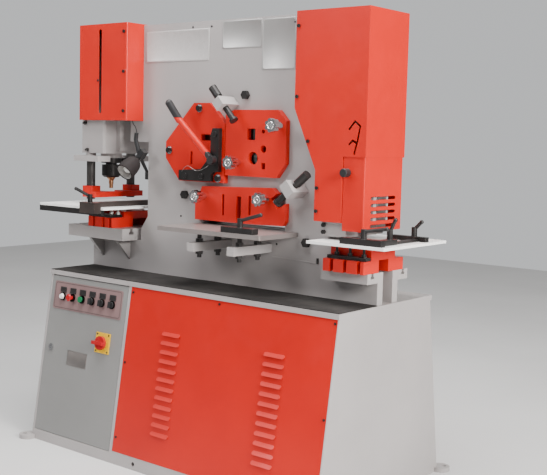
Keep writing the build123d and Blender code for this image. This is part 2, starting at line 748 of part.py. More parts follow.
lever_x, lever_z = -1.0, 1256.0
lever_y = block_y0 - seat
elbow = (-154, -165, 1417)
lever_grip = (-198, -180, 1485)
lever_root = (lever_x, lever_y - 14, lever_z)
lever = across(lever_x, lever_z, lever_y - 28, lever_y, 18)
lever += rod(lever_root, elbow, 13)
lever += Pos(*elbow) * Sphere(15.5)
lever += rod(elbow, lever_grip, 15.5)
lever += Pos(*lever_grip) * Sphere(15.5)
save("angle_lever", lever)


# Bolts, nuts and clamp knobs
def star_knob(x, z):
    """Seven-lobed clamp knob on its stud, standing on a station plate."""
    lobes = Circle(19) + PolarLocations(19, 7) * Circle(9)
    face = Plane(origin=(x, station_face - 44, z), x_dir=(1, 0, 0), z_dir=(0, -1, 0))
    knob = extrude(face * lobes, amount=26)
    knob += across(x, z, station_face - 45, station_face - 14, 17)
    return knob + across(x, z, station_face - 15, station_face - seat, 10)


knob_places = ((329, 1400), (115, 1250), (-66, 1104), (270, 1111))
washer_places = ((-105, 1467), (-276, 1290), (5, 1181))
washer_face = station_face - seat - 3
chromed = [star_knob(x, z) for x, z in knob_places]
chromed += [across(x, z, washer_face, station_face - seat, 17) for x, z in washer_places]
save("star_knobs", group(chromed))
bolts = [across(x, z, washer_face - seat - 9, washer_face - seat, 12) for x, z in washer_places]
for x, z in ((2, 1362), (-162, 1187), (-70, 1187)):
    bolts.append(across(x, z, block_y0 - seat - 6, block_y0 - seat, 11))
for x, z in ((126, 1521), (-202, 1103), (450, 952)):
    bolts.append(hexagon(x, z, body_face, 15, 19))
for x, z in ((555, 1031), (555, 1005)):
    bolts.append(hexagon(x, z, -105 - seat, 10, 9))
for z in (cover_z1 - 38, (cover_z0 + cover_z1) / 2 + 1, cover_z0 + 41):
    head = across(-483, z, -cover_half - seat - 5, -cover_half - seat, 7)
    bolts += [head, mirrored(head)]
for x, z in ((432, hood_top - 56), (432, 1510), (489, 1343), (536, 1170), (536, 1083)):
    head = across(x, z, -hood_half - seat - 5, -hood_half - seat, 7)
    bolts += [head, mirrored(head)]
for x, z in (
    (panel_x0 + 14, 703), (panel_x0 + 14, 416), (panel_x0 + 14, 110), (panel_x0 + 489, 712),
    (panel_x1 - 8, 710), (panel_x1 - 8, 376)
):
    bolts.append(stub(x, z, seat, seat + 3, 5))


def nut(x, y, z, height, radius):
    return Pos(x, y, z) * extrude(RegularPolygon(radius, 6), amount=height)


arm_under = arm_top - arm_depth - seat
for x in arm_centres:
    for y in (-246, -136):
        jack = upright(x, y, arm_top + seat, shear_z0 - seat, 9)
        bolts.append(jack + nut(x, y, arm_top + seat, 14, 16))
        bolts.append(upright(x, y, arm_under - 27, arm_under, 9) + nut(x, y, arm_under - 13, 13, 16))


def clamp_bar(x0, x1, y0, y1, z0, studs, stud_y, foot, top):
    """Bar across a die holder with studs that stand in its slots."""
    bar = box(x0, x1, y0, y1, z0 + seat, z0 + 13)
    pieces = [bar - [upright(x, stud_y, z0, z0 + 14, 5.5) for x in studs]]
    for x in studs:
        stud = upright(x, stud_y, foot, top, 5)
        pieces.append(stud + nut(x, stud_y, z0 + 13 + seat, 10, 10))
    return pieces


bolts += clamp_bar(
    holder_x1 - 160, holder_x1 - 4, -147, -88, tier_top, tier_slots, -103,
    bolster_z1 - 24, tier_top + 34
)
bolts += clamp_bar(
    plate_x1 - 174, plate_x1 - 2, -150, -117 - seat, notch_tier, notch_slots, -132,
    notch_holder_z, notch_table_z0 - 3
)
bolts.append(box(-915, -500, -279, -261, table_z0 - 25, table_z0 - seat))
save("machine_bolts", group(bolts))


# Fences with their clamp levers
hub_height = 36.0


def clamp_lever(hub, tip):
    """Hub on a fence with a leaning handle."""
    x, y, z = hub
    shape = upright(x, y, z, z + hub_height, 11)
    shape += rod((x, y, z + hub_height - 9), tip, 7)
    return shape + Pos(*tip) * Sphere(8)


fence_z = punch_table_top + seat
fence = box(-560, -530, -281, 190, fence_z, fence_z + 22)
fence += box(-595, -500, -318, -280 - seat, punch_table_top - 24, fence_z + 22)
fence += box(-560, -530, 182, 190, fence_z, fence_z + 56)
fence += clamp_lever((-548, -299, fence_z + 21), (-640, -299, fence_z + 76))
save("punch_fence", fence)
bar_z = shear_table_top + seat
shear_fence = box(208, 366, -302, -266, bar_z, bar_z + 22)
shear_fence += clamp_lever((291, -284, bar_z + 21), (391, -284, bar_z + 76))
save("shear_fence", shear_fence)
rail_z = notch_table_top + seat
notch_fence = box(826, 846, -198, 118, rail_z, rail_z + 10)
notch_fence += box(691, 868, -198, -170, rail_z, rail_z + 24)
notch_fence += box(820, 852, -160, -62, rail_z, rail_z + 20)
notch_fence += box(726, 878, 92, 118, rail_z, rail_z + 18)
notch_fence += clamp_lever((786, -184, rail_z + 23), (882, -184, rail_z + 66))
notch_fence += clamp_lever((836, -90, rail_z + 19), (858, -90, rail_z + 92))
notch_fence += clamp_lever((822, 105, rail_z + 17), (852, 105, rail_z + 74))
save("notch_fence", notch_fence)

# Notch cover, guard and knob
hood_x0, hood_low = 420.7, 1046.0
hood = slab(
    [(hood_x0, hood_top), (hood_x1, hood_top), (hood_x1, hood_edge), (650, hood_edge),
     (650, hood_low), (525.5, hood_low), (525.5, 1237), (hood_x0, 1467)], -hood_half, hood_half
)
hood -= slab(
    [(hood_x0 + sheet, hood_top - sheet), (hood_x1 - sheet, hood_top - sheet),
     (hood_x1 - sheet, hood_edge - 10), (650 - sheet, hood_edge - 10),
     (650 - sheet, hood_low - 1), (525.5 + sheet, hood_low - 1), (525.5 + sheet, 1237.6),
     (hood_x0 + sheet, 1467.6)], -hood_half + sheet, hood_half - sheet
)
hood -= box(hood_x0 - 1, 593, body_face, -body_face, hood_low - 1, plate_top + seat)
hood -= box(
    646, 651, -notch_half - 21, notch_half + 21, hood_low - 1, 1231
)


def hook_slot(points, y0, y1):
    """Bent slot with rounded ends for the guard's hook."""
    pieces = []
    for (x0, z0), (x1, z1) in zip(points, points[1:]):
        along = Vector(x1 - x0, 0, z1 - z0)
        side = Vector(-along.Z, 0, along.X).normalized() * 4
        corners = [(x0 + side.X, z0 + side.Z), (x1 + side.X, z1 + side.Z),
                   (x1 - side.X, z1 - side.Z), (x0 - side.X, z0 - side.Z)]
        pieces.append(slab(corners, y0, y1))
    return pieces + [across(x, z, y0, y1, 4) for x, z in points]


wall_y = (-hood_half - 1, -hood_half + sheet + 1)
hood -= hook_slot([(674, 1391), (698, 1419), (721, 1402), (711, 1347)], *wall_y)
hood -= hook_slot([(676, 1336), (690, 1350), (709, 1340), (698, 1302)], *wall_y)
save("notch_cover", hood)

guard_half = hood_half - sheet - seat
guard_x0, guard_x1 = 653.0, hood_x1 - sheet - seat
guard_z0, guard_z1 = 1018.0, 1296.0
guard = box(guard_x0, guard_x1, -guard_half, guard_half, guard_z0, guard_z1)
guard = fillet(guard.edges().filter_by(Axis.Z).group_by(Axis.X)[-1], 5)
guard -= box(
    guard_x0 - 1, guard_x1 - sheet, -guard_half + sheet, guard_half - sheet,
    guard_z0 - 1, guard_z1 + 1
)
vent_half = 84.0
for row in range(5):
    vent_z = 1140 - 25.7 * row
    guard -= box(guard_x1 - sheet - 1, guard_x1 + 1, 6 - vent_half, vent_half - 6, vent_z - 6,
                 vent_z + 6)
    for side in (-1, 1):
        end = (guard_x1 - sheet - 1, side * (vent_half - 6), vent_z)
        guard -= rod(end, (guard_x1 + 1, end[1], vent_z), 6)
knob_x, knob_z = 670.0, 1232.0
guard -= across(knob_x, knob_z, -guard_half - 1, -guard_half + sheet + 1, 5 + run)
save("notch_guard", guard)
knob = across(knob_x, knob_z, -guard_half - seat - 30, -guard_half - seat, 16)
knob += across(knob_x, knob_z, -guard_half - seat - 1, -guard_half + sheet + 6, 5)
knob = chamfer(knob.edges().filter_by(GeomType.CIRCLE).group_by(Axis.Y)[0], 2)
save("guard_knob", knob)

# Lamp on the throat edge
arm_tip = (-453, lamp_y, 1360)
arm_bend = (-458, lamp_y, 1330)
arm_foot = (-446, -51, 1174)
arm_radius = 9.0
arm = rod(arm_bend, arm_tip, arm_radius)
arm += Pos(*arm_bend) * Sphere(arm_radius)
arm += rod(lamp_joint, arm_bend, arm_radius)
arm += rod(
    (lamp_joint[0] - 13, lamp_y, lamp_joint[2]), (lamp_joint[0] + 13, lamp_y, lamp_joint[2]),
    lamp_barrel
)
arm += rod(lamp_joint, arm_foot, arm_radius, 6)
arm += box(-454, throat_x - seat, -66, -36, 1156, 1192)
arm += Pos(lamp_joint[0] + 15, lamp_y, lamp_joint[2] + 13) * Rot(0, 40, 0) * Box(26, 26, 36)
save("lamp_arm", arm)
shade_line = Vector(0, -0.81, -0.59).normalized()
joint = Vector(*lamp_joint)
neck = joint + shade_line * (lamp_barrel - 2)
dome = joint + shade_line * 25
back = joint + shade_line * 34
mouth = joint + shade_line * 114
shade = rod(neck, dome + shade_line, 7)
shade -= rod(
    joint - Vector(20, 0, 0), joint + Vector(20, 0, 0), lamp_barrel + seat
)
shade += rod(dome, back, 16, 26)
shade += rod(back, mouth, 26, 41)
shade -= rod(back + shade_line * 2, mouth + shade_line * 0.5, 23.6, 39)
shade += rod(back + shade_line, back + shade_line * 26, 9)
save("lamp_shade", shade)

# Lead from the punch cover down to the lamp arm
lead_path = [
    (gland_x, lamp_y, cover_z0 + 8 - seat), (gland_x, lamp_y, cover_z0 - 12),
    (arm_tip[0] - 3, lamp_y, arm_tip[2] + 24), (arm_tip[0], lamp_y, arm_tip[2] + seat)
]
runs = [(Vector(*b) - Vector(*a)).length for a, b in zip(lead_path, lead_path[1:])]
bends = []
for index in range(1, len(lead_path) - 1):
    before = Vector(*lead_path[index]) - Vector(*lead_path[index - 1])
    after = Vector(*lead_path[index + 1]) - Vector(*lead_path[index])
    half_turn = before.get_angle(after) * 3.14159265 / 360
    bends.append(0.45 * min(runs[index - 1], runs[index]) * cos(half_turn) / sin(half_turn))
print("lead bend radii", [round(bend, 1) for bend in bends])
lead_line = FilletPolyline(*lead_path, radius=bends)
lead = sweep(Plane(origin=lead_path[0], z_dir=(0, 0, -1)) * Circle(lead_radius), path=lead_line)
print("lead volume over section times length",
      round(lead.volume / (lead_line.length * 3.14159265 * lead_radius**2), 4))
save("lamp_lead", lead)

# Cabinet door: a folded tray on two pins
door = on_face(front_face, door_x0, door_x1, door_z0, door_z1, -door_flange, 0)
door -= on_face(
    front_face, door_x0 + sheet, door_x1 - sheet, door_z0 + sheet, door_z1 - sheet,
    -door_flange - 1, -sheet
)
for z0, z1 in ((door_z0 + 0.5, door_z0 + pin_reach + 6), (door_z1 - pin_reach - 6, door_z1 - 0.5)):
    boss = rod((hinge_x, z0 / cos(lean), -pivot_depth - 3),
               (hinge_x, z1 / cos(lean), -pivot_depth - 3), 8)
    door += front_face * boss
hinge_bore = rod((hinge_x, (door_z0 - 5) / cos(lean), -pivot_depth),
                 (hinge_x, (door_z0 + pin_reach + 2) / cos(lean), -pivot_depth), hinge_pin + run)
door -= front_face * hinge_bore
hinge_bore = rod((hinge_x, (door_z1 - pin_reach - 2) / cos(lean), -pivot_depth),
                 (hinge_x, (door_z1 + 5) / cos(lean), -pivot_depth), hinge_pin + run)
door -= front_face * hinge_bore
for x in control_columns:
    door -= stub(x, control_height, -sheet - 1, 1, bezel_body + seat)
door -= stub(switch_x, switch_z, -sheet - 1, 1, 20 + seat)
door -= stub(lock_x, lock_z, -sheet - 1, 1, 10 + seat)
save("cabinet_door", door)

plate_rise = seat + 2
control = box(
    door_x0 + 21, door_x1 - 26, (control_height - 56) / cos(lean),
    (control_height + 64) / cos(lean), seat, plate_rise
)
control = fillet(control.edges().filter_by(Axis.Z), 8)
control = front_face * control
for x in control_columns:
    control -= stub(x, control_height, -1, plate_rise + 1, bezel_body + seat)
save("control_plate", control)
hardware = []
for x in control_columns:
    bezel = stub(x, control_height, plate_rise + seat, bezel_top, 17)
    bezel += stub(x, control_height, -38, plate_rise + 1, bezel_body)
    hardware.append(bezel - stub(x, control_height, -30, bezel_top + 1, stem_radius + run))
lock = stub(lock_x, lock_z, seat, 6, 15)
lock += stub(lock_x, lock_z, -18, 1, 10)
lock -= on_face(front_face, lock_x - 1.5, lock_x + 1.5, lock_z - 7, lock_z + 7, 3, 7)
hardware.append(lock)
save("door_hardware", group(hardware))

switch_plate = on_face(
    front_face, switch_x - 43, switch_x + 43, switch_z - 42.5, switch_z + 42.5, seat, 4
)
switch_plate += stub(switch_x, switch_z, 3, 9, 24)
switch_plate += stub(switch_x, switch_z, -sheet - seat - 1, 1, 20)
switch_plate += on_face(
    front_face, switch_x - 36, switch_x + 36, switch_z - 36, switch_z + 36, -60, -sheet - seat
)
switch_plate -= stub(switch_x, switch_z, -30, 10, stem_radius + run)
save("switch_plate", switch_plate)
handle = stub(switch_x, switch_z, 9 + seat, 22, 29)
handle += on_face(front_face, switch_x - 32, switch_x + 30, switch_z - 7, switch_z + 7, 12, 38)
handle += stub(switch_x, switch_z, -25, 10, stem_radius)
save("switch_handle", handle)

cap_gap = bezel_top + seat


def control_stem(x, reach):
    return stub(x, control_height, 0, reach, stem_radius)


x_lamp, x_stop, x_start = control_columns[:3]
save(
    "pilot_lamp",
    control_stem(x_lamp, cap_gap + 1) + stub(x_lamp, control_height, cap_gap, 18, 13, 9)
)
mushroom = control_stem(x_stop, 21) + stub(x_stop, control_height, 20, 26, 12, 16)
save("stop_button", mushroom + stub(x_stop, control_height, 26, 31, 16, 12))
save("start_button", control_stem(x_start, 15) + stub(x_start, control_height, 14, 19, 13))
names = ("selector_left", "selector_middle", "selector_right")
for name, x in zip(names, control_columns[3:]):
    knob = control_stem(x, cap_gap + 1) + stub(x, control_height, cap_gap, 16, 14)
    knob += on_face(
        front_face, x - 4, x + 4, control_height - 13, control_height + 13, 15, 26
    )
    save(name, knob)
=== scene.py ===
import bpy
import math
from mathutils import Matrix, Vector, noise


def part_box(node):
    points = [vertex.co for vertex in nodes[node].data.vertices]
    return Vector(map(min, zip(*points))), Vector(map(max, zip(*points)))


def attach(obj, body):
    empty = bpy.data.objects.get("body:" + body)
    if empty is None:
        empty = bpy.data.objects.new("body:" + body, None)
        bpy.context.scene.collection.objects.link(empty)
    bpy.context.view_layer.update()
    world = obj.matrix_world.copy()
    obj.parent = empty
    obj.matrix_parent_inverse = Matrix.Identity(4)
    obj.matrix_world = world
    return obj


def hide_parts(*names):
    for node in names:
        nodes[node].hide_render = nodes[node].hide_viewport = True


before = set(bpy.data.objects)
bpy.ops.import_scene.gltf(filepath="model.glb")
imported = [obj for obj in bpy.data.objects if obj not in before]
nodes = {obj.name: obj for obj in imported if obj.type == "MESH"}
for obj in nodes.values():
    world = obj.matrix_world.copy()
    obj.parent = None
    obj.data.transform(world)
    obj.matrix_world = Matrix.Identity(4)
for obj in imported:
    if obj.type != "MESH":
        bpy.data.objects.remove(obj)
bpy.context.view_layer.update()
mm = 0.001
forward = (0, -1, 0)
smoothAngle = math.radians(35)


def deselectAll():
    if bpy.context.object and bpy.context.object.mode != "OBJECT":
        bpy.ops.object.mode_set(mode="OBJECT")
    bpy.ops.object.select_all(action="DESELECT")


# Select some pieces and nothing else, with the first as the active one
def pick(*pieces):
    deselectAll()
    for piece in pieces:
        piece.select_set(True)
    bpy.context.view_layer.objects.active = pieces[0]


# Camera at a standing person's eye, turned a little on its own axis
cameraView = {
    "place": (2728.7, -3132.2, 1351.4), "yaw": 38.604, "down": 5.721, "roll": 1.425,
    "focalPixels": 991.4, "frameWidth": 547.0, "sensor": 36.0, "farthest": 60,
}


def setCamera(view):
    yaw, down, roll = (math.radians(view[k]) for k in ("yaw", "down", "roll"))
    ahead = Vector((-math.sin(yaw) * math.cos(down), math.cos(yaw) * math.cos(down),
                    -math.sin(down)))
    right = Vector((math.cos(yaw), math.sin(yaw), 0))
    up = right.cross(ahead)
    rightTilted = right * math.cos(roll) + up * math.sin(roll)
    upTilted = up * math.cos(roll) - right * math.sin(roll)
    place = Vector(view["place"]) * mm
    bpy.ops.object.camera_add(location=place)
    camera = bpy.context.object
    camera.name = "viewCamera"
    turn = Matrix((rightTilted, upTilted, -ahead)).transposed().to_4x4()
    camera.matrix_world = Matrix.Translation(place) @ turn
    camera.data.sensor_width = view["sensor"]
    camera.data.lens = view["focalPixels"] / view["frameWidth"] * view["sensor"]
    camera.data.clip_end = view["farthest"]
    bpy.context.scene.camera = camera


deselectAll()
setCamera(cameraView)
print("camera set")


# Round cord or wire bent along a route in millimetres
def bentCurve(name, bend):
    curve = bpy.data.curves.new(name, "CURVE")
    curve.dimensions = "3D"
    curve.bevel_depth = bend["radius"] * mm
    curve.bevel_resolution = bend["stepsRound"]
    curve.resolution_u = bend["stepsAlong"]
    curve.use_fill_caps = True
    spline = curve.splines.new("NURBS")
    spline.points.add(len(bend["route"]) - 1)
    for point, at in zip(spline.points, bend["route"]):
        point.co = (at[0] * mm, at[1] * mm, at[2] * mm, 1)
    spline.use_endpoint_u = True
    spline.order_u = bend["order"]
    piece = bpy.data.objects.new(name, curve)
    bpy.context.collection.objects.link(piece)
    return piece


# Effects that several finishes share
def newGroup(name, inputs, outputs):
    tree = bpy.data.node_groups.new(name, "ShaderNodeTree")
    for label, value in inputs.items():
        socket = tree.interface.new_socket(name=label, in_out="INPUT",
                                           socket_type="NodeSocketFloat")
        socket.default_value = value
    for label in outputs:
        tree.interface.new_socket(name=label, in_out="OUTPUT", socket_type="NodeSocketFloat")
    return tree, tree.nodes.new("NodeGroupInput"), tree.nodes.new("NodeGroupOutput")


def wire(tree, start, end):
    tree.links.new(start, end)


# A number goes into the socket, and another node's output is wired to it
def feed(tree, value, socket):
    if isinstance(value, (int, float)):
        socket.default_value = value
    else:
        wire(tree, value, socket)


def mathNode(tree, operation, first, second, clamp=False):
    node = tree.nodes.new("ShaderNodeMath")
    node.operation = operation
    node.use_clamp = clamp
    feed(tree, first, node.inputs[0])
    feed(tree, second, node.inputs[1])
    return node.outputs[0]


def noiseNode(tree, vector, scale, detail, rough=0.55):
    node = tree.nodes.new("ShaderNodeTexNoise")
    node.inputs["Detail"].default_value = detail
    node.inputs["Roughness"].default_value = rough
    wire(tree, vector, node.inputs["Vector"])
    feed(tree, scale, node.inputs["Scale"])
    return node.outputs["Fac"]


def rangeNode(tree, value, low, high, newLow, newHigh):
    node = tree.nodes.new("ShaderNodeMapRange")
    node.clamp = True
    wire(tree, value, node.inputs["Value"])
    for label, number in (("From Min", low), ("From Max", high), ("To Min", newLow),
                          ("To Max", newHigh)):
        node.inputs[label].default_value = number
    return node.outputs["Result"]


# Each pattern: scale, detail and roughness of its noise, the range of the noise that
# counts, and the values which that range becomes. The cloud gets its scale from a finish
patterns = {
    "cloud": {"detail": 4.0, "rough": 0.55, "counts": (0.3, 0.7), "becomes": (0.0, 1.0)},
    "smudge": {"scale": 14.0, "detail": 5.0, "rough": 0.7, "counts": (0.45, 0.75),
               "becomes": (0.0, 1.0)},
    "broken": {"scale": 38.0, "detail": 4.0, "rough": 0.7, "counts": (0.44, 0.62),
               "becomes": (0.0, 1.0)},
    "patchy": {"scale": 9.0, "detail": 5.0, "rough": 0.65, "counts": (0.35, 0.7),
               "becomes": (0.2, 1.0)},
}
# Wear goes by the cosine between rounded and plain normal, dust by the normal's height
edgeTurn = {"from": 0.97, "to": 0.80, "samples": 4}
upwardFacing = {"from": 0.55, "to": 0.95}
peelDetail = 2.0
dustColour = (0.45, 0.42, 0.38)
steelDustColour = (0.40, 0.37, 0.33)
dustDulls = 0.3
peelStrength = 0.35
grindLines = {"scale": 60.0, "detail": 3.0, "rough": 0.7, "counts": (0.3, 0.7),
              "strength": 0.25, "depth": 0.0001, "cloud": 6.0}
repaintCloud = 9.0


def patternNode(tree, vector, name, scale=None):
    pattern = patterns[name]
    found = noiseNode(tree, vector, pattern["scale"] if scale is None else scale,
                      pattern["detail"], pattern["rough"])
    return rangeNode(tree, found, *pattern["counts"], *pattern["becomes"])


# Cloudy tone, height of the orange peel, and smudges
surfaceGrain, grainIn, grainOut = newGroup(
    "surfaceGrain", {"Cloud Scale": 2.2, "Peel Scale": 420.0}, ("Tone", "Peel", "Smudge"))
spot = surfaceGrain.nodes.new("ShaderNodeTexCoord").outputs["Object"]
wire(surfaceGrain, patternNode(surfaceGrain, spot, "cloud", grainIn.outputs["Cloud Scale"]),
     grainOut.inputs["Tone"])
wire(surfaceGrain, noiseNode(surfaceGrain, spot, grainIn.outputs["Peel Scale"], peelDetail),
     grainOut.inputs["Peel"])
wire(surfaceGrain, patternNode(surfaceGrain, spot, "smudge"), grainOut.inputs["Smudge"])

# Rubbed edges, broken up so that they aren't even
edgeWear, wearIn, wearOut = newGroup("edgeWear", {"Radius": 0.0015, "Amount": 1.0}, ("Mask",))
rounded = edgeWear.nodes.new("ShaderNodeBevel")
rounded.samples = edgeTurn["samples"]
wire(edgeWear, wearIn.outputs["Radius"], rounded.inputs["Radius"])
facing = edgeWear.nodes.new("ShaderNodeNewGeometry")
dot = edgeWear.nodes.new("ShaderNodeVectorMath")
dot.operation = "DOT_PRODUCT"
wire(edgeWear, rounded.outputs["Normal"], dot.inputs[0])
wire(edgeWear, facing.outputs["Normal"], dot.inputs[1])
edge = rangeNode(edgeWear, dot.outputs["Value"], edgeTurn["from"], edgeTurn["to"], 0.0, 1.0)
spot = edgeWear.nodes.new("ShaderNodeTexCoord").outputs["Object"]
worn = mathNode(edgeWear, "MULTIPLY", edge, patternNode(edgeWear, spot, "broken"))
wire(edgeWear, mathNode(edgeWear, "MULTIPLY", worn, wearIn.outputs["Amount"], True),
     wearOut.inputs["Mask"])

# Dust that lies on what faces up
settledDust, dustIn, dustOut = newGroup("settledDust", {"Amount": 0.5}, ("Mask",))
facing = settledDust.nodes.new("ShaderNodeNewGeometry")
split = settledDust.nodes.new("ShaderNodeSeparateXYZ")
wire(settledDust, facing.outputs["Normal"], split.inputs[0])
upward = rangeNode(settledDust, split.outputs["Z"], upwardFacing["from"], upwardFacing["to"],
                   0.0, 1.0)
spot = settledDust.nodes.new("ShaderNodeTexCoord").outputs["Object"]
lying = mathNode(settledDust, "MULTIPLY", upward, patternNode(settledDust, spot, "patchy"))
wire(settledDust, mathNode(settledDust, "MULTIPLY", lying, dustIn.outputs["Amount"], True),
     dustOut.inputs["Mask"])


def placeGroup(tree, group, **values):
    node = tree.nodes.new("ShaderNodeGroup")
    node.node_tree = group
    for label, number in values.items():
        node.inputs[label.replace("_", " ")].default_value = number
    return node


def mixColour(tree, factor, first, second):
    node = tree.nodes.new("ShaderNodeMix")
    node.data_type = "RGBA"
    wire(tree, factor, node.inputs["Factor"])
    for label, value in (("A", first), ("B", second)):
        socket = [s for s in node.inputs if s.name == label and s.type == "RGBA"][0]
        if isinstance(value, tuple):
            socket.default_value = (*value, 1)
        else:
            wire(tree, value, socket)
    return [s for s in node.outputs if s.type == "RGBA"][0]


def newFinish(name):
    material = bpy.data.materials.new(name)
    material.use_nodes = True
    return material, material.node_tree, material.node_tree.nodes["Principled BSDF"]


def bumpFrom(tree, shader, height, strength, distance):
    bump = tree.nodes.new("ShaderNodeBump")
    bump.inputs["Strength"].default_value = strength
    bump.inputs["Distance"].default_value = distance
    wire(tree, height, bump.inputs["Height"])
    wire(tree, bump.outputs["Normal"], shader.inputs["Normal"])


# Sprayed or moulded surface with cloudy tone, rubbed edges and a little dust
def enamel(name, light, dark, bare=(0.36, 0.35, 0.34), rough=(0.34, 0.46), wear=0.8,
           dust=0.25, metallic=0.0, coat=0.05, peel=0.00012, gloss=0.35):
    material, tree, shader = newFinish(name)
    grain = placeGroup(tree, surfaceGrain)
    edges = placeGroup(tree, edgeWear, Amount=wear)
    film = placeGroup(tree, settledDust, Amount=dust)
    paint = mixColour(tree, grain.outputs["Tone"], dark, light)
    rubbed = mixColour(tree, edges.outputs["Mask"], paint, bare)
    dusty = mixColour(tree, film.outputs["Mask"], rubbed, dustColour)
    wire(tree, dusty, shader.inputs["Base Color"])
    dulled = mathNode(tree, "ADD", rangeNode(tree, grain.outputs["Smudge"], 0, 1, *rough),
                      mathNode(tree, "MULTIPLY", film.outputs["Mask"], dustDulls), True)
    wire(tree, dulled, shader.inputs["Roughness"])
    shader.inputs["Metallic"].default_value = metallic
    shader.inputs["Coat Weight"].default_value = coat
    shader.inputs["Specular IOR Level"].default_value = gloss
    bumpFrom(tree, shader, grain.outputs["Peel"], peelStrength, peel)
    return material


# Bare steel with fine grinding lines along one direction
def groundSteel(name, light, dark, rough, direction=(1.0, 40.0, 1.0), dust=0.1, metallic=1.0):
    material, tree, shader = newFinish(name)
    grain = placeGroup(tree, surfaceGrain, Cloud_Scale=grindLines["cloud"])
    mapping = tree.nodes.new("ShaderNodeMapping")
    mapping.inputs["Scale"].default_value = direction
    spot = tree.nodes.new("ShaderNodeTexCoord").outputs["Object"]
    wire(tree, spot, mapping.inputs["Vector"])
    lines = noiseNode(tree, mapping.outputs["Vector"], grindLines["scale"], grindLines["detail"],
                      grindLines["rough"])
    film = placeGroup(tree, settledDust, Amount=dust)
    tone = mathNode(tree, "MULTIPLY", mathNode(tree, "ADD", grain.outputs["Tone"], lines), 0.5)
    metal = mixColour(tree, tone, dark, light)
    wire(tree, mixColour(tree, film.outputs["Mask"], metal, steelDustColour),
         shader.inputs["Base Color"])
    wire(tree, rangeNode(tree, lines, *grindLines["counts"], *rough), shader.inputs["Roughness"])
    shader.inputs["Metallic"].default_value = metallic
    bumpFrom(tree, shader, lines, grindLines["strength"], grindLines["depth"])
    return material


# Mask of what lies between two corners
insideBox, boxIn, boxOut = newGroup(
    "insideBox", {"Low X": 0.0, "Low Y": 0.0, "Low Z": 0.0, "High X": 0.0, "High Y": 0.0,
                  "High Z": 0.0}, ("Mask",))
split = insideBox.nodes.new("ShaderNodeSeparateXYZ")
wire(insideBox, insideBox.nodes.new("ShaderNodeTexCoord").outputs["Object"], split.inputs[0])
inside = None
for axis in "XYZ":
    above = mathNode(insideBox, "GREATER_THAN", split.outputs[axis],
                     boxIn.outputs["Low " + axis])
    below = mathNode(insideBox, "LESS_THAN", split.outputs[axis],
                     boxIn.outputs["High " + axis])
    both = mathNode(insideBox, "MULTIPLY", above, below)
    inside = both if inside is None else mathNode(insideBox, "MULTIPLY", inside, both)
wire(insideBox, inside, boxOut.inputs["Mask"])


# Give the parts of a piece that lie in some boxes another colour
def paintBoxes(material, boxes, light, dark):
    tree = material.node_tree
    shader = tree.nodes["Principled BSDF"]
    mask = None
    for low, high in boxes:
        values = {f"{end}_{axis}": number * mm
                  for end, corner in (("Low", low), ("High", high))
                  for axis, number in zip("XYZ", corner)}
        found = placeGroup(tree, insideBox, **values).outputs["Mask"]
        mask = found if mask is None else mathNode(tree, "MAXIMUM", mask, found)
    tone = placeGroup(tree, surfaceGrain, Cloud_Scale=repaintCloud).outputs["Tone"]
    under = shader.inputs["Base Color"].links[0].from_socket
    wire(tree, mixColour(tree, mask, under, mixColour(tree, tone, dark, light)),
         shader.inputs["Base Color"])
    return material


# The front of the base leans back; its pieces are made upright and then laid on it.
# The foot is its Y at the floor in metres, and the slope is Y over Z
baseFront = {"foot": -0.429, "slope": 0.1543}
leanAngle = math.atan(baseFront["slope"])
ontoFront = (Matrix.Translation((0, baseFront["foot"], 0))
             @ Matrix.Rotation(-leanAngle, 4, "X"))


def upFront(height):
    return height / math.cos(leanAngle)


# Boxes stacked up the leaning door, that hold what sits behind the yellow plate
switchBack = {"x": (-440, -350), "behind": 4.5, "inner": -280, "z": (425, 525), "step": 10}


def behindDoor(back):
    (left, right), step = back["x"], back["step"]
    foot = baseFront["foot"] / mm + back["behind"]
    return [((left, baseFront["slope"] * z + foot, z), (right, back["inner"], z + step))
            for z in range(*back["z"], step)]


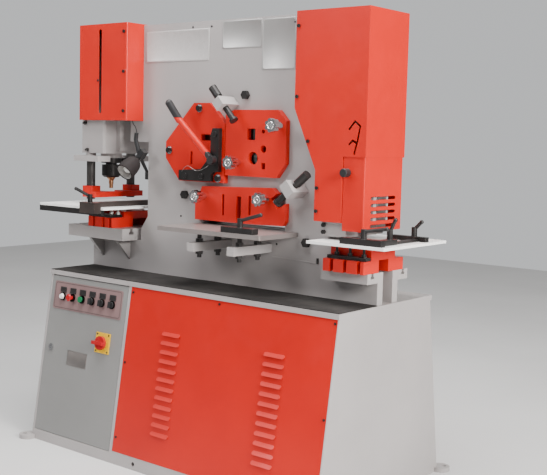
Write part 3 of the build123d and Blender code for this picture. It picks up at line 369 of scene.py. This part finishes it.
orangeTones = ((0.60, 0.013, 0.005), (0.51, 0.010, 0.004))
oxideTones = ((0.046, 0.043, 0.042), (0.026, 0.024, 0.024))
finish = {
    "warmGrey": enamel("warmGreyEnamel", (0.385, 0.358, 0.352), (0.335, 0.310, 0.304)),
    "doorGrey": enamel("doorEnamel", (0.228, 0.225, 0.218), (0.200, 0.197, 0.191), wear=0.5),
    "orange": enamel("orangeEnamel", *orangeTones, bare=(0.26, 0.13, 0.09), dust=0.06,
                     coat=0.08, gloss=0.3),
    "panelOrange": enamel("panelEnamel", (0.56, 0.006, 0.0012), (0.47, 0.0045, 0.001),
                          bare=(0.30, 0.08, 0.05), dust=0.08, wear=0.4, gloss=0.28),
    "leverOrange": paintBoxes(
        enamel("leverEnamel", *orangeTones, bare=(0.26, 0.13, 0.09), dust=0.06, coat=0.1,
               gloss=0.35),
        (((-230, -210, 1426), (-140, -140, 1520)), ((-24, -160, 1220), (40, -110, 1290))),
        (0.032, 0.030, 0.031), (0.018, 0.017, 0.018)),
    "blackOxide": enamel("blackOxide", *oxideTones, bare=(0.32, 0.31, 0.30),
                         rough=(0.30, 0.50), wear=1.0, dust=0.10, metallic=0.6, coat=0.0),
    "columnOxide": enamel("columnOxide", (0.078, 0.073, 0.070), (0.052, 0.049, 0.047),
                          bare=(0.32, 0.31, 0.30), rough=(0.32, 0.50), wear=0.8, dust=0.10,
                          metallic=0.5, coat=0.0),
    "boltBlack": paintBoxes(
        enamel("boltOxide", *oxideTones, bare=(0.32, 0.31, 0.30), rough=(0.28, 0.45),
               wear=1.0, dust=0.08, metallic=0.6, coat=0.0),
        (((-760, -160, 993.2), (-560, -88, 1016)),),
        (0.62, 0.60, 0.57), (0.40, 0.38, 0.36)),
    "fenceSteel": paintBoxes(
        enamel("fenceSteel", (0.125, 0.100, 0.092), (0.070, 0.056, 0.052),
               bare=(0.42, 0.38, 0.35), rough=(0.30, 0.5), wear=1.0, dust=0.25,
               metallic=0.7, coat=0.0),
        (((-660, -320, 1057.5), (-532, -281, 1130)),), *oxideTones),
    "shadeBlack": enamel("shadeBlack", (0.026, 0.022, 0.022), (0.018, 0.016, 0.016),
                         bare=(0.03, 0.03, 0.03), rough=(0.6, 0.75), wear=0.0, dust=0.02,
                         coat=0.0, gloss=0.06),
    "shearTableSteel": groundSteel("shearTableSteel", (0.35, 0.31, 0.297),
                                   (0.242, 0.214, 0.204), (0.34, 0.52), (1.0, 30.0, 1.0), 0.06,
                                   metallic=0.6),
    "blackPlastic": enamel("blackMoulding", (0.022, 0.022, 0.023), (0.014, 0.014, 0.015),
                           bare=(0.06, 0.06, 0.06), rough=(0.38, 0.55), wear=0.4, dust=0.12,
                           coat=0.0),
    # Table tops near white and not metallic: a painted reflection of a bright background on
    # their ground steel
    "tableSteelPaintedReflection": groundSteel("tableSteelPaintedReflection", (0.96, 0.95, 0.93), (0.88, 0.87, 0.85),
                              (0.30, 0.46), (1.0, 30.0, 1.0), 0.04, metallic=0.0),
    "toolSteel": groundSteel("toolSteel", (0.40, 0.385, 0.37), (0.24, 0.23, 0.22),
                             (0.30, 0.5), (40.0, 1.0, 1.0), 0.2),
    "chrome": groundSteel("knobChrome", (0.86, 0.86, 0.86), (0.52, 0.52, 0.53), (0.10, 0.26),
                          (6.0, 6.0, 6.0), 0.05),
    "capChrome": groundSteel("capChrome", (0.95, 0.95, 0.95), (0.70, 0.70, 0.70),
                             (0.14, 0.3), (9.0, 9.0, 9.0), 0.0),
    "doorMetal": paintBoxes(
        groundSteel("doorChrome", (0.80, 0.80, 0.80), (0.62, 0.62, 0.63), (0.10, 0.24),
                    (6.0, 6.0, 6.0), 0.05),
        (((-760, -420, 600), (-290, -250, 680)),), (0.040, 0.038, 0.038),
        (0.020, 0.019, 0.019)),
    "copper": groundSteel("punchCopper", (0.70, 0.36, 0.18), (0.50, 0.24, 0.12), (0.25, 0.45)),
    "rubber": enamel("matRubber", (0.028, 0.0255, 0.025), (0.014, 0.0128, 0.0125),
                     bare=(0.09, 0.085, 0.08), rough=(0.80, 0.95), wear=0.5, dust=0.05,
                     coat=0.0, peel=0.0004, gloss=0.08),
    "controlFace": enamel("controlFace", (0.240, 0.150, 0.147), (0.202, 0.125, 0.123),
                          wear=0.2),
    "redPlastic": enamel("redMoulding", (0.46, 0.008, 0.012), (0.36, 0.006, 0.009),
                         bare=(0.5, 0.10, 0.08), rough=(0.2, 0.35), wear=0.2, dust=0.03),
    "greenPlastic": enamel("greenMoulding", (0.016, 0.20, 0.075), (0.011, 0.14, 0.055),
                           bare=(0.1, 0.3, 0.12), rough=(0.2, 0.35), wear=0.2, dust=0.05),
    "whitePlastic": enamel("lampLens", (0.82, 0.80, 0.78), (0.74, 0.72, 0.70),
                           rough=(0.15, 0.3), wear=0.1, dust=0.05),
    "yellowPlastic": paintBoxes(
        enamel("yellowMoulding", (0.82, 0.50, 0.005), (0.70, 0.40, 0.004),
               bare=(0.6, 0.45, 0.15), rough=(0.25, 0.4), wear=0.2, dust=0.05),
        behindDoor(switchBack), (0.040, 0.038, 0.038), (0.020, 0.019, 0.019)),
    "paleReflector": enamel("paleReflector", (0.60, 0.58, 0.56), (0.46, 0.445, 0.43),
                            bare=(0.7, 0.7, 0.68), rough=(0.25, 0.4), wear=0.1, dust=0.05),
    "bareSign": enamel("bareSign", (0.50, 0.48, 0.47), (0.45, 0.43, 0.42),
                       rough=(0.25, 0.4), wear=0.2, dust=0.05),
    "doorPlateMetal": groundSteel("doorPlateMetal", (0.30, 0.275, 0.26), (0.22, 0.20, 0.19),
                                  (0.35, 0.55), (30.0, 1.0, 1.0), 0.05),
    "legendBlack": enamel("legendBlack", (0.030, 0.026, 0.026), (0.018, 0.016, 0.016),
                          bare=(0.07, 0.07, 0.07), rough=(0.28, 0.42), wear=0.3, dust=0.05,
                          coat=0.1),
    "lineBlack": enamel("lineBlack", (0.075, 0.062, 0.060), (0.055, 0.046, 0.045),
                        bare=(0.16, 0.14, 0.13), rough=(0.35, 0.5), wear=0.2, dust=0.05,
                        coat=0.0),
    "bulbGlass": enamel("bulbGlass", (0.80, 0.79, 0.75), (0.74, 0.73, 0.69),
                        bare=(0.8, 0.8, 0.76), rough=(0.10, 0.18), wear=0.0, dust=0.05,
                        coat=0.6),
    "plateMetal": groundSteel("plateMetal", (0.49, 0.475, 0.465), (0.38, 0.37, 0.36),
                              (0.3, 0.5), (30.0, 1.0, 1.0), 0.05, metallic=0.6),
}
print("finishes made:", len(finish))

nodeFinish = {
    "warmGrey": ("base_frame", "oil_tank", "motor_pump", "front_side_plate",
                 "rear_side_plate", "frame_spacers", "punch_cylinder", "tool_bolsters",
                 "swing_beam", "shear_cylinder", "hold_down_blocks"),
    "doorGrey": ("cabinet_door",),
    "orange": ("punch_cover", "punch_die_holder", "notch_cover", "notch_die_holder",
               "angle_plate", "bar_plate", "flat_plate", "punch_stripper", "notch_guard"),
    "leverOrange": ("angle_lever",),
    "panelOrange": ("front_panel", "rear_panel"),
    "columnOxide": ("stripper_columns",),
    "blackOxide": ("angle_block", "punch_ram", "coupling_nut", "bar_screw", "flat_screw",
                   "shear_fence", "notch_fence", "lamp_shade"),
    "boltBlack": ("machine_bolts",),
    "fenceSteel": ("punch_fence",),
    "blackPlastic": ("lamp_arm", "lamp_lead", "selector_left", "selector_middle",
                     "selector_right", "guard_knob"),
    "tableSteelPaintedReflection": ("punch_table", "notch_table"),
    "shearTableSteel": ("shear_table",),
    "toolSteel": ("pivot_pin", "punch_die", "lower_blades", "upper_blades", "shear_rod",
                  "notch_ram"),
    "chrome": ("star_knobs",),
    "doorMetal": ("door_hardware",),
    "copper": ("punch_tool",),
    "rubber": ("rubber_mat",),
    "controlFace": ("control_plate",),
    "redPlastic": ("switch_handle", "stop_button"),
    "greenPlastic": ("start_button",),
    "whitePlastic": ("pilot_lamp",),
    "yellowPlastic": ("switch_plate",),
}
for key, names in nodeFinish.items():
    for name in names:
        part = nodes[name]
        if not part.material_slots:
            part.data.materials.append(finish[key])
        for slot in part.material_slots:
            slot.material = finish[key]
print("solids finished:", sum(len(v) for v in nodeFinish.values()))

# Lamp lead, from the gland under the punch cover to the lamp arm
lampLead = {
    "route": ((-480, -120, 1419.7), (-480, -120, 1400), (-456, -120, 1384),
              (-453, -120, 1360.3)),
    "radius": 2.0, "order": 3, "stepsRound": 5, "stepsAlong": 10,
}
cord = bentCurve("lampLeadCord", lampLead)
cord.data.materials.append(finish["blackPlastic"])
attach(cord, "machine")
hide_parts("lamp_lead")
print("lead laid")


# Helpers for pieces that are modelled one by one
def editAll():
    bpy.ops.object.mode_set(mode="EDIT")
    bpy.ops.mesh.select_mode(type="VERT")
    bpy.ops.mesh.select_all(action="SELECT")


# Place and size go into the mesh, and the piece gets its finish and its body
def settle(piece, material, body):
    pick(piece)
    bpy.ops.object.transform_apply(location=True, rotation=True, scale=True)
    piece.data.materials.clear()
    piece.data.materials.append(material)
    bpy.ops.object.shade_smooth_by_angle(angle=smoothAngle)
    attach(piece, body)
    return piece


# Block between two corners in millimetres, with rounded edges
def softBlock(name, low, high, bevel, segments=3):
    deselectAll()
    centre = [(a + b) / 2 * mm for a, b in zip(low, high)]
    bpy.ops.mesh.primitive_cube_add(size=1, location=centre)
    piece = bpy.context.object
    piece.name = name
    piece.scale = [(b - a) * mm for a, b in zip(low, high)]
    bpy.ops.object.transform_apply(location=True, rotation=True, scale=True)
    editAll()
    bpy.ops.mesh.bevel(offset=bevel * mm, segments=segments, affect="EDGES")
    bpy.ops.object.mode_set(mode="OBJECT")
    return piece


def joinPieces(name, pieces):
    pick(*pieces)
    bpy.ops.object.join()
    pieces[0].name = name
    return pieces[0]


headRounding = 0.3


# Screw head with a rounded rim, standing on its seat along the axis
def roundHead(name, centre, axis, radius, height, sides):
    deselectAll()
    direction = Vector(axis).normalized()
    place = (Vector(centre) + direction * height / 2) * mm
    bpy.ops.mesh.primitive_cylinder_add(vertices=sides, radius=radius * mm, depth=height * mm,
                                        location=place,
                                        rotation=direction.to_track_quat("Z", "Y").to_euler())
    piece = bpy.context.object
    piece.name = name
    bpy.ops.object.transform_apply(location=True, rotation=True, scale=True)
    editAll()
    bpy.ops.mesh.bevel(offset=height * headRounding * mm, segments=2, affect="EDGES")
    bpy.ops.object.mode_set(mode="OBJECT")
    return piece


def move(piece, matrix):
    pick(piece)
    piece.matrix_world = matrix @ piece.matrix_world
    bpy.ops.object.transform_apply(location=True, rotation=True, scale=True)
    return piece


# Sink the large face that looks forward, leaving a rim round it with a steep inner side
def rimFace(piece, rim, depth, share=0.5, side=0.8, facing=0.99):
    size = piece.dimensions
    pick(piece)
    editAll()
    bpy.ops.mesh.select_all(action="DESELECT")
    bpy.ops.object.mode_set(mode="OBJECT")
    for polygon in piece.data.polygons:
        large = polygon.area > share * size.x * size.z
        polygon.select = polygon.normal.y < -facing and large
    bpy.ops.object.mode_set(mode="EDIT")
    bpy.ops.mesh.select_mode(type="FACE")
    bpy.ops.mesh.inset(thickness=rim * mm, depth=0)
    bpy.ops.mesh.inset(thickness=side * mm, depth=-depth * mm)
    bpy.ops.object.mode_set(mode="OBJECT")
    return piece


# Round piece along +Z, drawn up ring by ring from (height, radius) pairs
def turned(name, rings, sides, hollow=False):
    deselectAll()
    height, radius = rings[0]
    bpy.ops.mesh.primitive_circle_add(vertices=sides, radius=radius * mm,
                                      fill_type="NOTHING" if hollow else "NGON",
                                      location=(0, 0, 0))
    piece = bpy.context.object
    piece.name = name
    editAll()
    bpy.ops.transform.translate(value=(0, 0, height * mm))
    for nextHeight, nextRadius in rings[1:]:
        bpy.ops.mesh.extrude_region_move(
            TRANSFORM_OT_translate={"value": (0, 0, (nextHeight - height) * mm)})
        factor = nextRadius / radius
        bpy.ops.transform.resize(value=(factor, factor, 1),
                                 center_override=(0, 0, nextHeight * mm))
        height, radius = nextHeight, nextRadius
    bpy.ops.mesh.select_all(action="SELECT")
    bpy.ops.mesh.remove_doubles(threshold=0.00001)
    bpy.ops.mesh.normals_make_consistent(inside=False)
    bpy.ops.object.mode_set(mode="OBJECT")
    return piece


# Matrix that stands a piece made along +Z on a point, along a direction
def along(start, direction):
    return (Matrix.Translation(Vector(start) * mm)
            @ Vector(direction).to_track_quat("Z", "Y").to_matrix().to_4x4())


# Bare plates, each with a raised rim and rivets
barePlates = {
    "signPlate": {"x": (-448, -80), "z": (1665, 1796), "back": -69.2, "thick": 2.0,
                  "rim": 5.0, "rivet": 2.4, "finish": "bareSign", "slot": "warm_grey"},
    "dataPlate": {"x": (-8, 201), "z": (1708, 1820), "back": -69.2, "thick": 1.2,
                  "rim": 4.0, "rivet": 2.0, "finish": "plateMetal", "slot": "bright_steel"},
    "chartPlate": {"x": (204, 370), "z": (1619, 1818), "back": -69.2, "thick": 1.2,
                   "rim": 4.0, "rivet": 2.0, "finish": "plateMetal", "slot": "bright_steel"},
    "doorNameplate": {"x": (-610, -484), "z": (347, 412), "back": 0.0, "thick": 1.0,
                      "rim": 3.0, "rivet": 1.8, "finish": "doorPlateMetal",
                      "slot": "bright_steel"},
}
plateMake = {"bevel": 0.4, "sink": 0.4, "rivetFromRim": 4, "rivetSunk": 0.5,
             "rivetHeight": 1.3, "rivetSides": 12}


def barePlate(name, plate):
    (x0, x1), (z0, z1) = plate["x"], plate["z"]
    back, front = plate["back"], plate["back"] - plate["thick"]
    piece = rimFace(softBlock(name, (x0, front, z0), (x1, back, z1), plateMake["bevel"], 2),
                    plate["rim"], plateMake["sink"])
    inset = plate["rim"] + plateMake["rivetFromRim"]
    rivets = [roundHead("rivet", (x, front + plateMake["rivetSunk"], z), forward,
                        plate["rivet"], plateMake["rivetHeight"], plateMake["rivetSides"])
              for x in (x0 + inset, x1 - inset) for z in (z0 + inset, z1 - inset)]
    return joinPieces(name, [piece] + rivets)


for name, plate in barePlates.items():
    onDoor = name.startswith("door")
    if onDoor:
        plate["z"] = [upFront(height) for height in plate["z"]]
    piece = barePlate(name, plate)
    if onDoor:
        move(piece, ontoFront)
    settle(piece, finish[plate["finish"]], "door" if onDoor else "machine")
print("bare plates made:", len(barePlates))

# Black legend plates above the six controls, with nothing on them
legends = {"columns": (-682, -618, -555, -492, -428, -364), "halfWidth": 19.0,
           "z": (653.4, 677.5), "out": (2.4, 5.4), "bevel": 1.0, "rim": 3.0, "sink": 0.6,
           "share": 0.4}
legendPlates = []
for x in legends["columns"]:
    low = (x - legends["halfWidth"], -legends["out"][1], upFront(legends["z"][0]))
    high = (x + legends["halfWidth"], -legends["out"][0], upFront(legends["z"][1]))
    legendPlates.append(rimFace(softBlock("legend", low, high, legends["bevel"], 2),
                                legends["rim"], legends["sink"], legends["share"]))
settle(move(joinPieces("legendPlates", legendPlates), ontoFront), finish["legendBlack"],
       "door")

# Thin dark line round the control face
controlLine = {"x": (-738, -312), "z": (585, 695), "out": (2.4, 2.7), "corner": 11.0,
               "cornerSteps": 6, "width": 2.4}


def lineFrame(name, line):
    (x0, x1), (z0, z1), (low, high) = line["x"], [upFront(z) for z in line["z"]], line["out"]
    deselectAll()
    bpy.ops.mesh.primitive_plane_add(
        size=1, rotation=(math.pi / 2, 0, 0),
        location=((x0 + x1) / 2 * mm, -low * mm, (z0 + z1) / 2 * mm))
    piece = bpy.context.object
    piece.name = name
    piece.scale = ((x1 - x0) * mm, (z1 - z0) * mm, 1)
    bpy.ops.object.transform_apply(location=True, rotation=True, scale=True)
    editAll()
    bpy.ops.mesh.bevel(offset=line["corner"] * mm, segments=line["cornerSteps"],
                       affect="VERTICES")
    bpy.ops.mesh.select_all(action="SELECT")
    bpy.ops.mesh.inset(thickness=line["width"] * mm, depth=0)
    bpy.ops.mesh.delete(type="FACE")
    bpy.ops.mesh.select_all(action="SELECT")
    bpy.ops.mesh.extrude_region_move(
        TRANSFORM_OT_translate={"value": (0, -(high - low) * mm, 0)})
    bpy.ops.mesh.select_all(action="SELECT")
    bpy.ops.mesh.normals_make_consistent(inside=False)
    bpy.ops.object.mode_set(mode="OBJECT")
    return piece


settle(move(lineFrame("controlLine", controlLine), ontoFront), finish["lineBlack"], "door")

# Small screws in the corners of the yellow switch plate
switchScrews = {"x": -395, "z": 473, "reach": 35.0, "seat": 3.9, "radius": 4.2,
                "height": 1.6, "sides": 14}
screws = []
for across in (-1, 1):
    for upward in (-1, 1):
        at = (switchScrews["x"] + across * switchScrews["reach"], -switchScrews["seat"],
              upFront(switchScrews["z"] + upward * switchScrews["reach"]))
        screws.append(roundHead("screw", at, forward, switchScrews["radius"],
                                switchScrews["height"], switchScrews["sides"]))
settle(move(joinPieces("switchScrews", screws), ontoFront), finish["legendBlack"], "door")
print("door trim made")

# Rubber mat that lies on the ledge with a few low creases
rubberMat = {
    "thick": 2.2, "cells": (180, 28), "clear": 0.002, "crease": 3.2,
    "swell": (5.2, 4.0, 1.7), "wrinkle": (19.0, 7.0, 9.1), "wrinkleShare": 0.35,
}


def patternAt(at, pattern):
    alongX, alongY, level = pattern
    return max(0.0, noise.noise(Vector((at.x * alongX, at.y * alongY, level))))


def layMat(mat):
    low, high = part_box("rubber_mat")
    centre = (low + high) / 2
    deselectAll()
    bpy.ops.mesh.primitive_grid_add(x_subdivisions=mat["cells"][0],
                                    y_subdivisions=mat["cells"][1], size=1,
                                    location=(centre.x, centre.y, low.z))
    piece = bpy.context.object
    piece.name = "creasedMat"
    piece.scale = (high.x - low.x - mat["clear"], high.y - low.y - mat["clear"], 1)
    bpy.ops.object.transform_apply(location=True, rotation=True, scale=True)
    for vertex in piece.data.vertices:
        lift = (patternAt(vertex.co, mat["swell"])
                + mat["wrinkleShare"] * patternAt(vertex.co, mat["wrinkle"]))
        vertex.co.z += mat["crease"] * mm * lift
    bpy.ops.object.modifier_add(type="SOLIDIFY")
    wall = piece.modifiers[-1]
    wall.thickness = mat["thick"] * mm
    wall.offset = 1
    bpy.ops.object.modifier_apply(modifier=wall.name)
    return piece


creasedMat = settle(layMat(rubberMat), finish["rubber"], "machine")
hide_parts("rubber_mat")
print("mat laid")

# Lamp: bell-shaped shade in the place of the plain one, pale inside, with its bulb.
# The profiles are pairs of distance from the joint and radius
lampHead = {
    "joint": (-430, -120, 1256), "line": (0, -0.81, -0.59), "sides": 40, "bulbSides": 28,
    "bell": ((15.5, 6.0), (15.5, 8.0), (24.0, 9.5), (27.5, 17.0), (32.0, 25.0), (40.0, 31.5),
             (52.0, 36.0), (70.0, 39.2), (92.0, 40.6), (112.5, 41.0), (114.0, 40.2),
             (114.0, 35.8), (112.4, 35.0), (110.8, 39.2), (92.0, 39.0), (70.0, 37.6),
             (53.0, 34.4), (41.8, 30.0), (34.5, 23.6), (30.5, 15.5), (28.5, 6.0),
             (15.5, 6.0)),
    "lining": ((31.5, 15.0), (34.9, 22.6), (42.2, 29.4), (53.2, 33.8), (70.0, 37.0),
               (92.0, 38.4), (109.8, 38.8), (109.8, 37.8), (92.0, 37.4), (70.0, 36.0),
               (54.0, 32.8), (43.4, 28.4), (36.3, 21.8), (33.3, 15.0), (31.5, 15.0)),
    "bulb": ((29.0, 9.0), (58.0, 9.0), (60.0, 11.5), (66.0, 14.5), (74.0, 19.0),
             (83.0, 21.0), (92.0, 19.4), (98.5, 14.6), (102.0, 8.0), (103.0, 1.4)),
}
ontoLamp = along(lampHead["joint"], lampHead["line"])
lampBell = turned("lampBell", lampHead["bell"], lampHead["sides"], hollow=True)
settle(move(lampBell, ontoLamp), finish["shadeBlack"], "shade")
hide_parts("lamp_shade")
lampLining = turned("lampLining", lampHead["lining"], lampHead["sides"], hollow=True)
settle(move(lampLining, ontoLamp), finish["paleReflector"], "shade")
lampBulb = turned("lampBulb", lampHead["bulb"], lampHead["bulbSides"])
settle(move(lampBulb, ontoLamp), finish["bulbGlass"], "shade")
print("lamp filled")

# Bent spring wire over the angle block
springWire = {
    "route": ((-181, -117.2, 1203), (-165, -118, 1222), (-147, -119, 1231),
              (-126, -119, 1222), (-101, -118.5, 1207), (-78, -118.5, 1210),
              (-56, -118.5, 1217), (-30, -117.2, 1233)),
    "radius": 0.8, "order": 4, "stepsRound": 3, "stepsAlong": 8,
}
pick(bentCurve("springWire", springWire))
bpy.ops.object.convert(target="MESH")
settle(bpy.context.object, finish["toolSteel"], "machine")

# Dished caps on the faces of the star knobs
knobCaps = {"at": ((329, 1400), (115, 1250), (-66, 1104), (270, 1111)),
            "rings": ((0.0, 15.0), (2.0, 15.4), (2.8, 14.6), (2.8, 12.2), (1.2, 11.0),
                      (0.9, 5.0), (1.8, 4.4), (1.8, 1.0)),
            "sides": 28, "sunk": 0.1}
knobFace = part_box("star_knobs")[0].y / mm
caps = [move(turned("cap", knobCaps["rings"], knobCaps["sides"]),
             along((x, knobFace + knobCaps["sunk"], z), forward))
        for x, z in knobCaps["at"]]
settle(joinPieces("knobCaps", caps), finish["capChrome"], "machine")

# Weld across the body, a row of low overlapping beads
weldLine = {"from": (278, 881), "to": (496, 875.5), "face": -69.2, "pitch": 5.6,
            "radius": 3.6, "height": 1.5, "sunk": 0.3, "sides": 10}


def weldSeam(weld):
    (x0, z0), (x1, z1) = weld["from"], weld["to"]
    count = int(math.hypot(x1 - x0, z1 - z0) / weld["pitch"])
    first = roundHead("bead", (x0, weld["face"] + weld["sunk"], z0), forward,
                      weld["radius"], weld["height"], weld["sides"])
    beads = [first]
    for step in range(1, count + 1):
        copy = first.copy()
        copy.data = first.data.copy()
        bpy.context.collection.objects.link(copy)
        share = step / count
        copy.location = ((x1 - x0) * share * mm, 0, (z1 - z0) * share * mm)
        beads.append(copy)
    return joinPieces("weldSeam", beads)


settle(weldSeam(weldLine), finish["warmGrey"], "machine")

# Small black round heads on the body, a screw on the punch cover and fittings on the punch block
smallHeads = {
    "bodyDarkDiscs": {"at": ((300, -69.2, 934), (-174, -69.2, 1804), (-68, -69.2, 1802),
                         (364, -69.2, 1798), (-227, -69.2, 1010)),
                  "radius": 4.5, "height": 1.2},
    "coverScrew": {"at": ((-648, -171.0, 1586),), "radius": 6.0, "height": 3.0},
    "blockFittings": {"at": ((-759, -145.0, 1399), (-742, -145.0, 1279)), "radius": 9.0,
                      "height": 8.0},
    "fittingCaps": {"at": ((-759, -152.8, 1399), (-742, -152.8, 1279)), "radius": 5.5,
                    "height": 9.0},
}
smallHeadSides = 16
for name, heads in smallHeads.items():
    made = [roundHead("head", at, forward, heads["radius"], heads["height"], smallHeadSides)
            for at in heads["at"]]
    settle(joinPieces(name, made), finish["blackOxide"], "machine")

# Small black block with a sunk face at the end of the weld
darkSlotBlock = {"low": (499, -73.2, 874), "high": (508, -69.3, 896), "bevel": 1.0, "rim": 1.6,
          "sink": 1.5, "share": 0.3}
settle(rimFace(softBlock("bodyDarkSlotBlock", darkSlotBlock["low"], darkSlotBlock["high"], darkSlotBlock["bevel"]),
               darkSlotBlock["rim"], darkSlotBlock["sink"], darkSlotBlock["share"]),
       finish["blackOxide"], "machine")
print("small fittings made")

# Floor and lights
paleFloor = {"size": 14.0, "dark": (0.60, 0.59, 0.58), "light": (0.66, 0.65, 0.64),
             "cloud": 0.8, "rough": 0.6}


def layFloor(ground):
    deselectAll()
    bpy.ops.mesh.primitive_plane_add(size=ground["size"], location=(0, 0, 0))
    floor = bpy.context.object
    floor.name = "studioFloor"
    material, tree, shader = newFinish("paleFloor")
    grain = placeGroup(tree, surfaceGrain, Cloud_Scale=ground["cloud"])
    wire(tree, mixColour(tree, grain.outputs["Tone"], ground["dark"], ground["light"]),
         shader.inputs["Base Color"])
    shader.inputs["Roughness"].default_value = ground["rough"]
    floor.data.materials.append(material)


layFloor(paleFloor)
studioLights = {
    "rightWindow": {"place": (5.2, -1.15, 2.8), "aim": (0, 0, 1.0), "size": 2.0, "watts": 545,
                    "tint": (1.0, 0.985, 0.96)},
    "leftKey": {"place": (-3.0, -4.6, 4.4), "aim": (0, 0, 1.2), "size": 1.8, "watts": 170,
                "tint": (0.98, 0.985, 1.0)},
    "topSoft": {"place": (0.2, -0.7, 4.8), "aim": (0, 0, 0), "size": 2.6, "watts": 300,
                "tint": (1.0, 1.0, 1.0)},
}
for name, light in studioLights.items():
    deselectAll()
    bpy.ops.object.light_add(type="AREA", location=light["place"])
    lamp = bpy.context.object
    lamp.name = name
    lamp.data.size = light["size"]
    lamp.data.energy = light["watts"]
    lamp.data.color = light["tint"]
    lamp.rotation_euler = (Vector(light["aim"]) - Vector(light["place"])).to_track_quat(
        "-Z", "Y").to_euler()

# Air that is darker low down, and a plain backdrop where the camera looks
studioAir = {"low": (0.34, 0.34, 0.35), "high": (0.95, 0.96, 0.97), "rises": (-0.1, 0.45),
             "strength": 0.46, "backdrop": (0.62, 0.63, 0.64, 1)}
world = bpy.data.worlds.new("studioAir")
world.use_nodes = True
air = world.node_tree
sky = air.nodes.new("ShaderNodeSeparateXYZ")
wire(air, air.nodes.new("ShaderNodeTexCoord").outputs["Generated"], sky.inputs[0])
height = rangeNode(air, sky.outputs["Z"], *studioAir["rises"], 0.0, 1.0)
wire(air, mixColour(air, height, studioAir["low"], studioAir["high"]),
     air.nodes["Background"].inputs["Color"])
air.nodes["Background"].inputs["Strength"].default_value = studioAir["strength"]
backdrop = air.nodes.new("ShaderNodeBackground")
backdrop.inputs["Color"].default_value = studioAir["backdrop"]
seen = air.nodes.new("ShaderNodeMixShader")
wire(air, air.nodes.new("ShaderNodeLightPath").outputs["Is Camera Ray"], seen.inputs[0])
wire(air, air.nodes["Background"].outputs[0], seen.inputs[1])
wire(air, backdrop.outputs[0], seen.inputs[2])
wire(air, seen.outputs[0], air.nodes["World Output"].inputs["Surface"])
bpy.context.scene.world = world
print("studio lit")
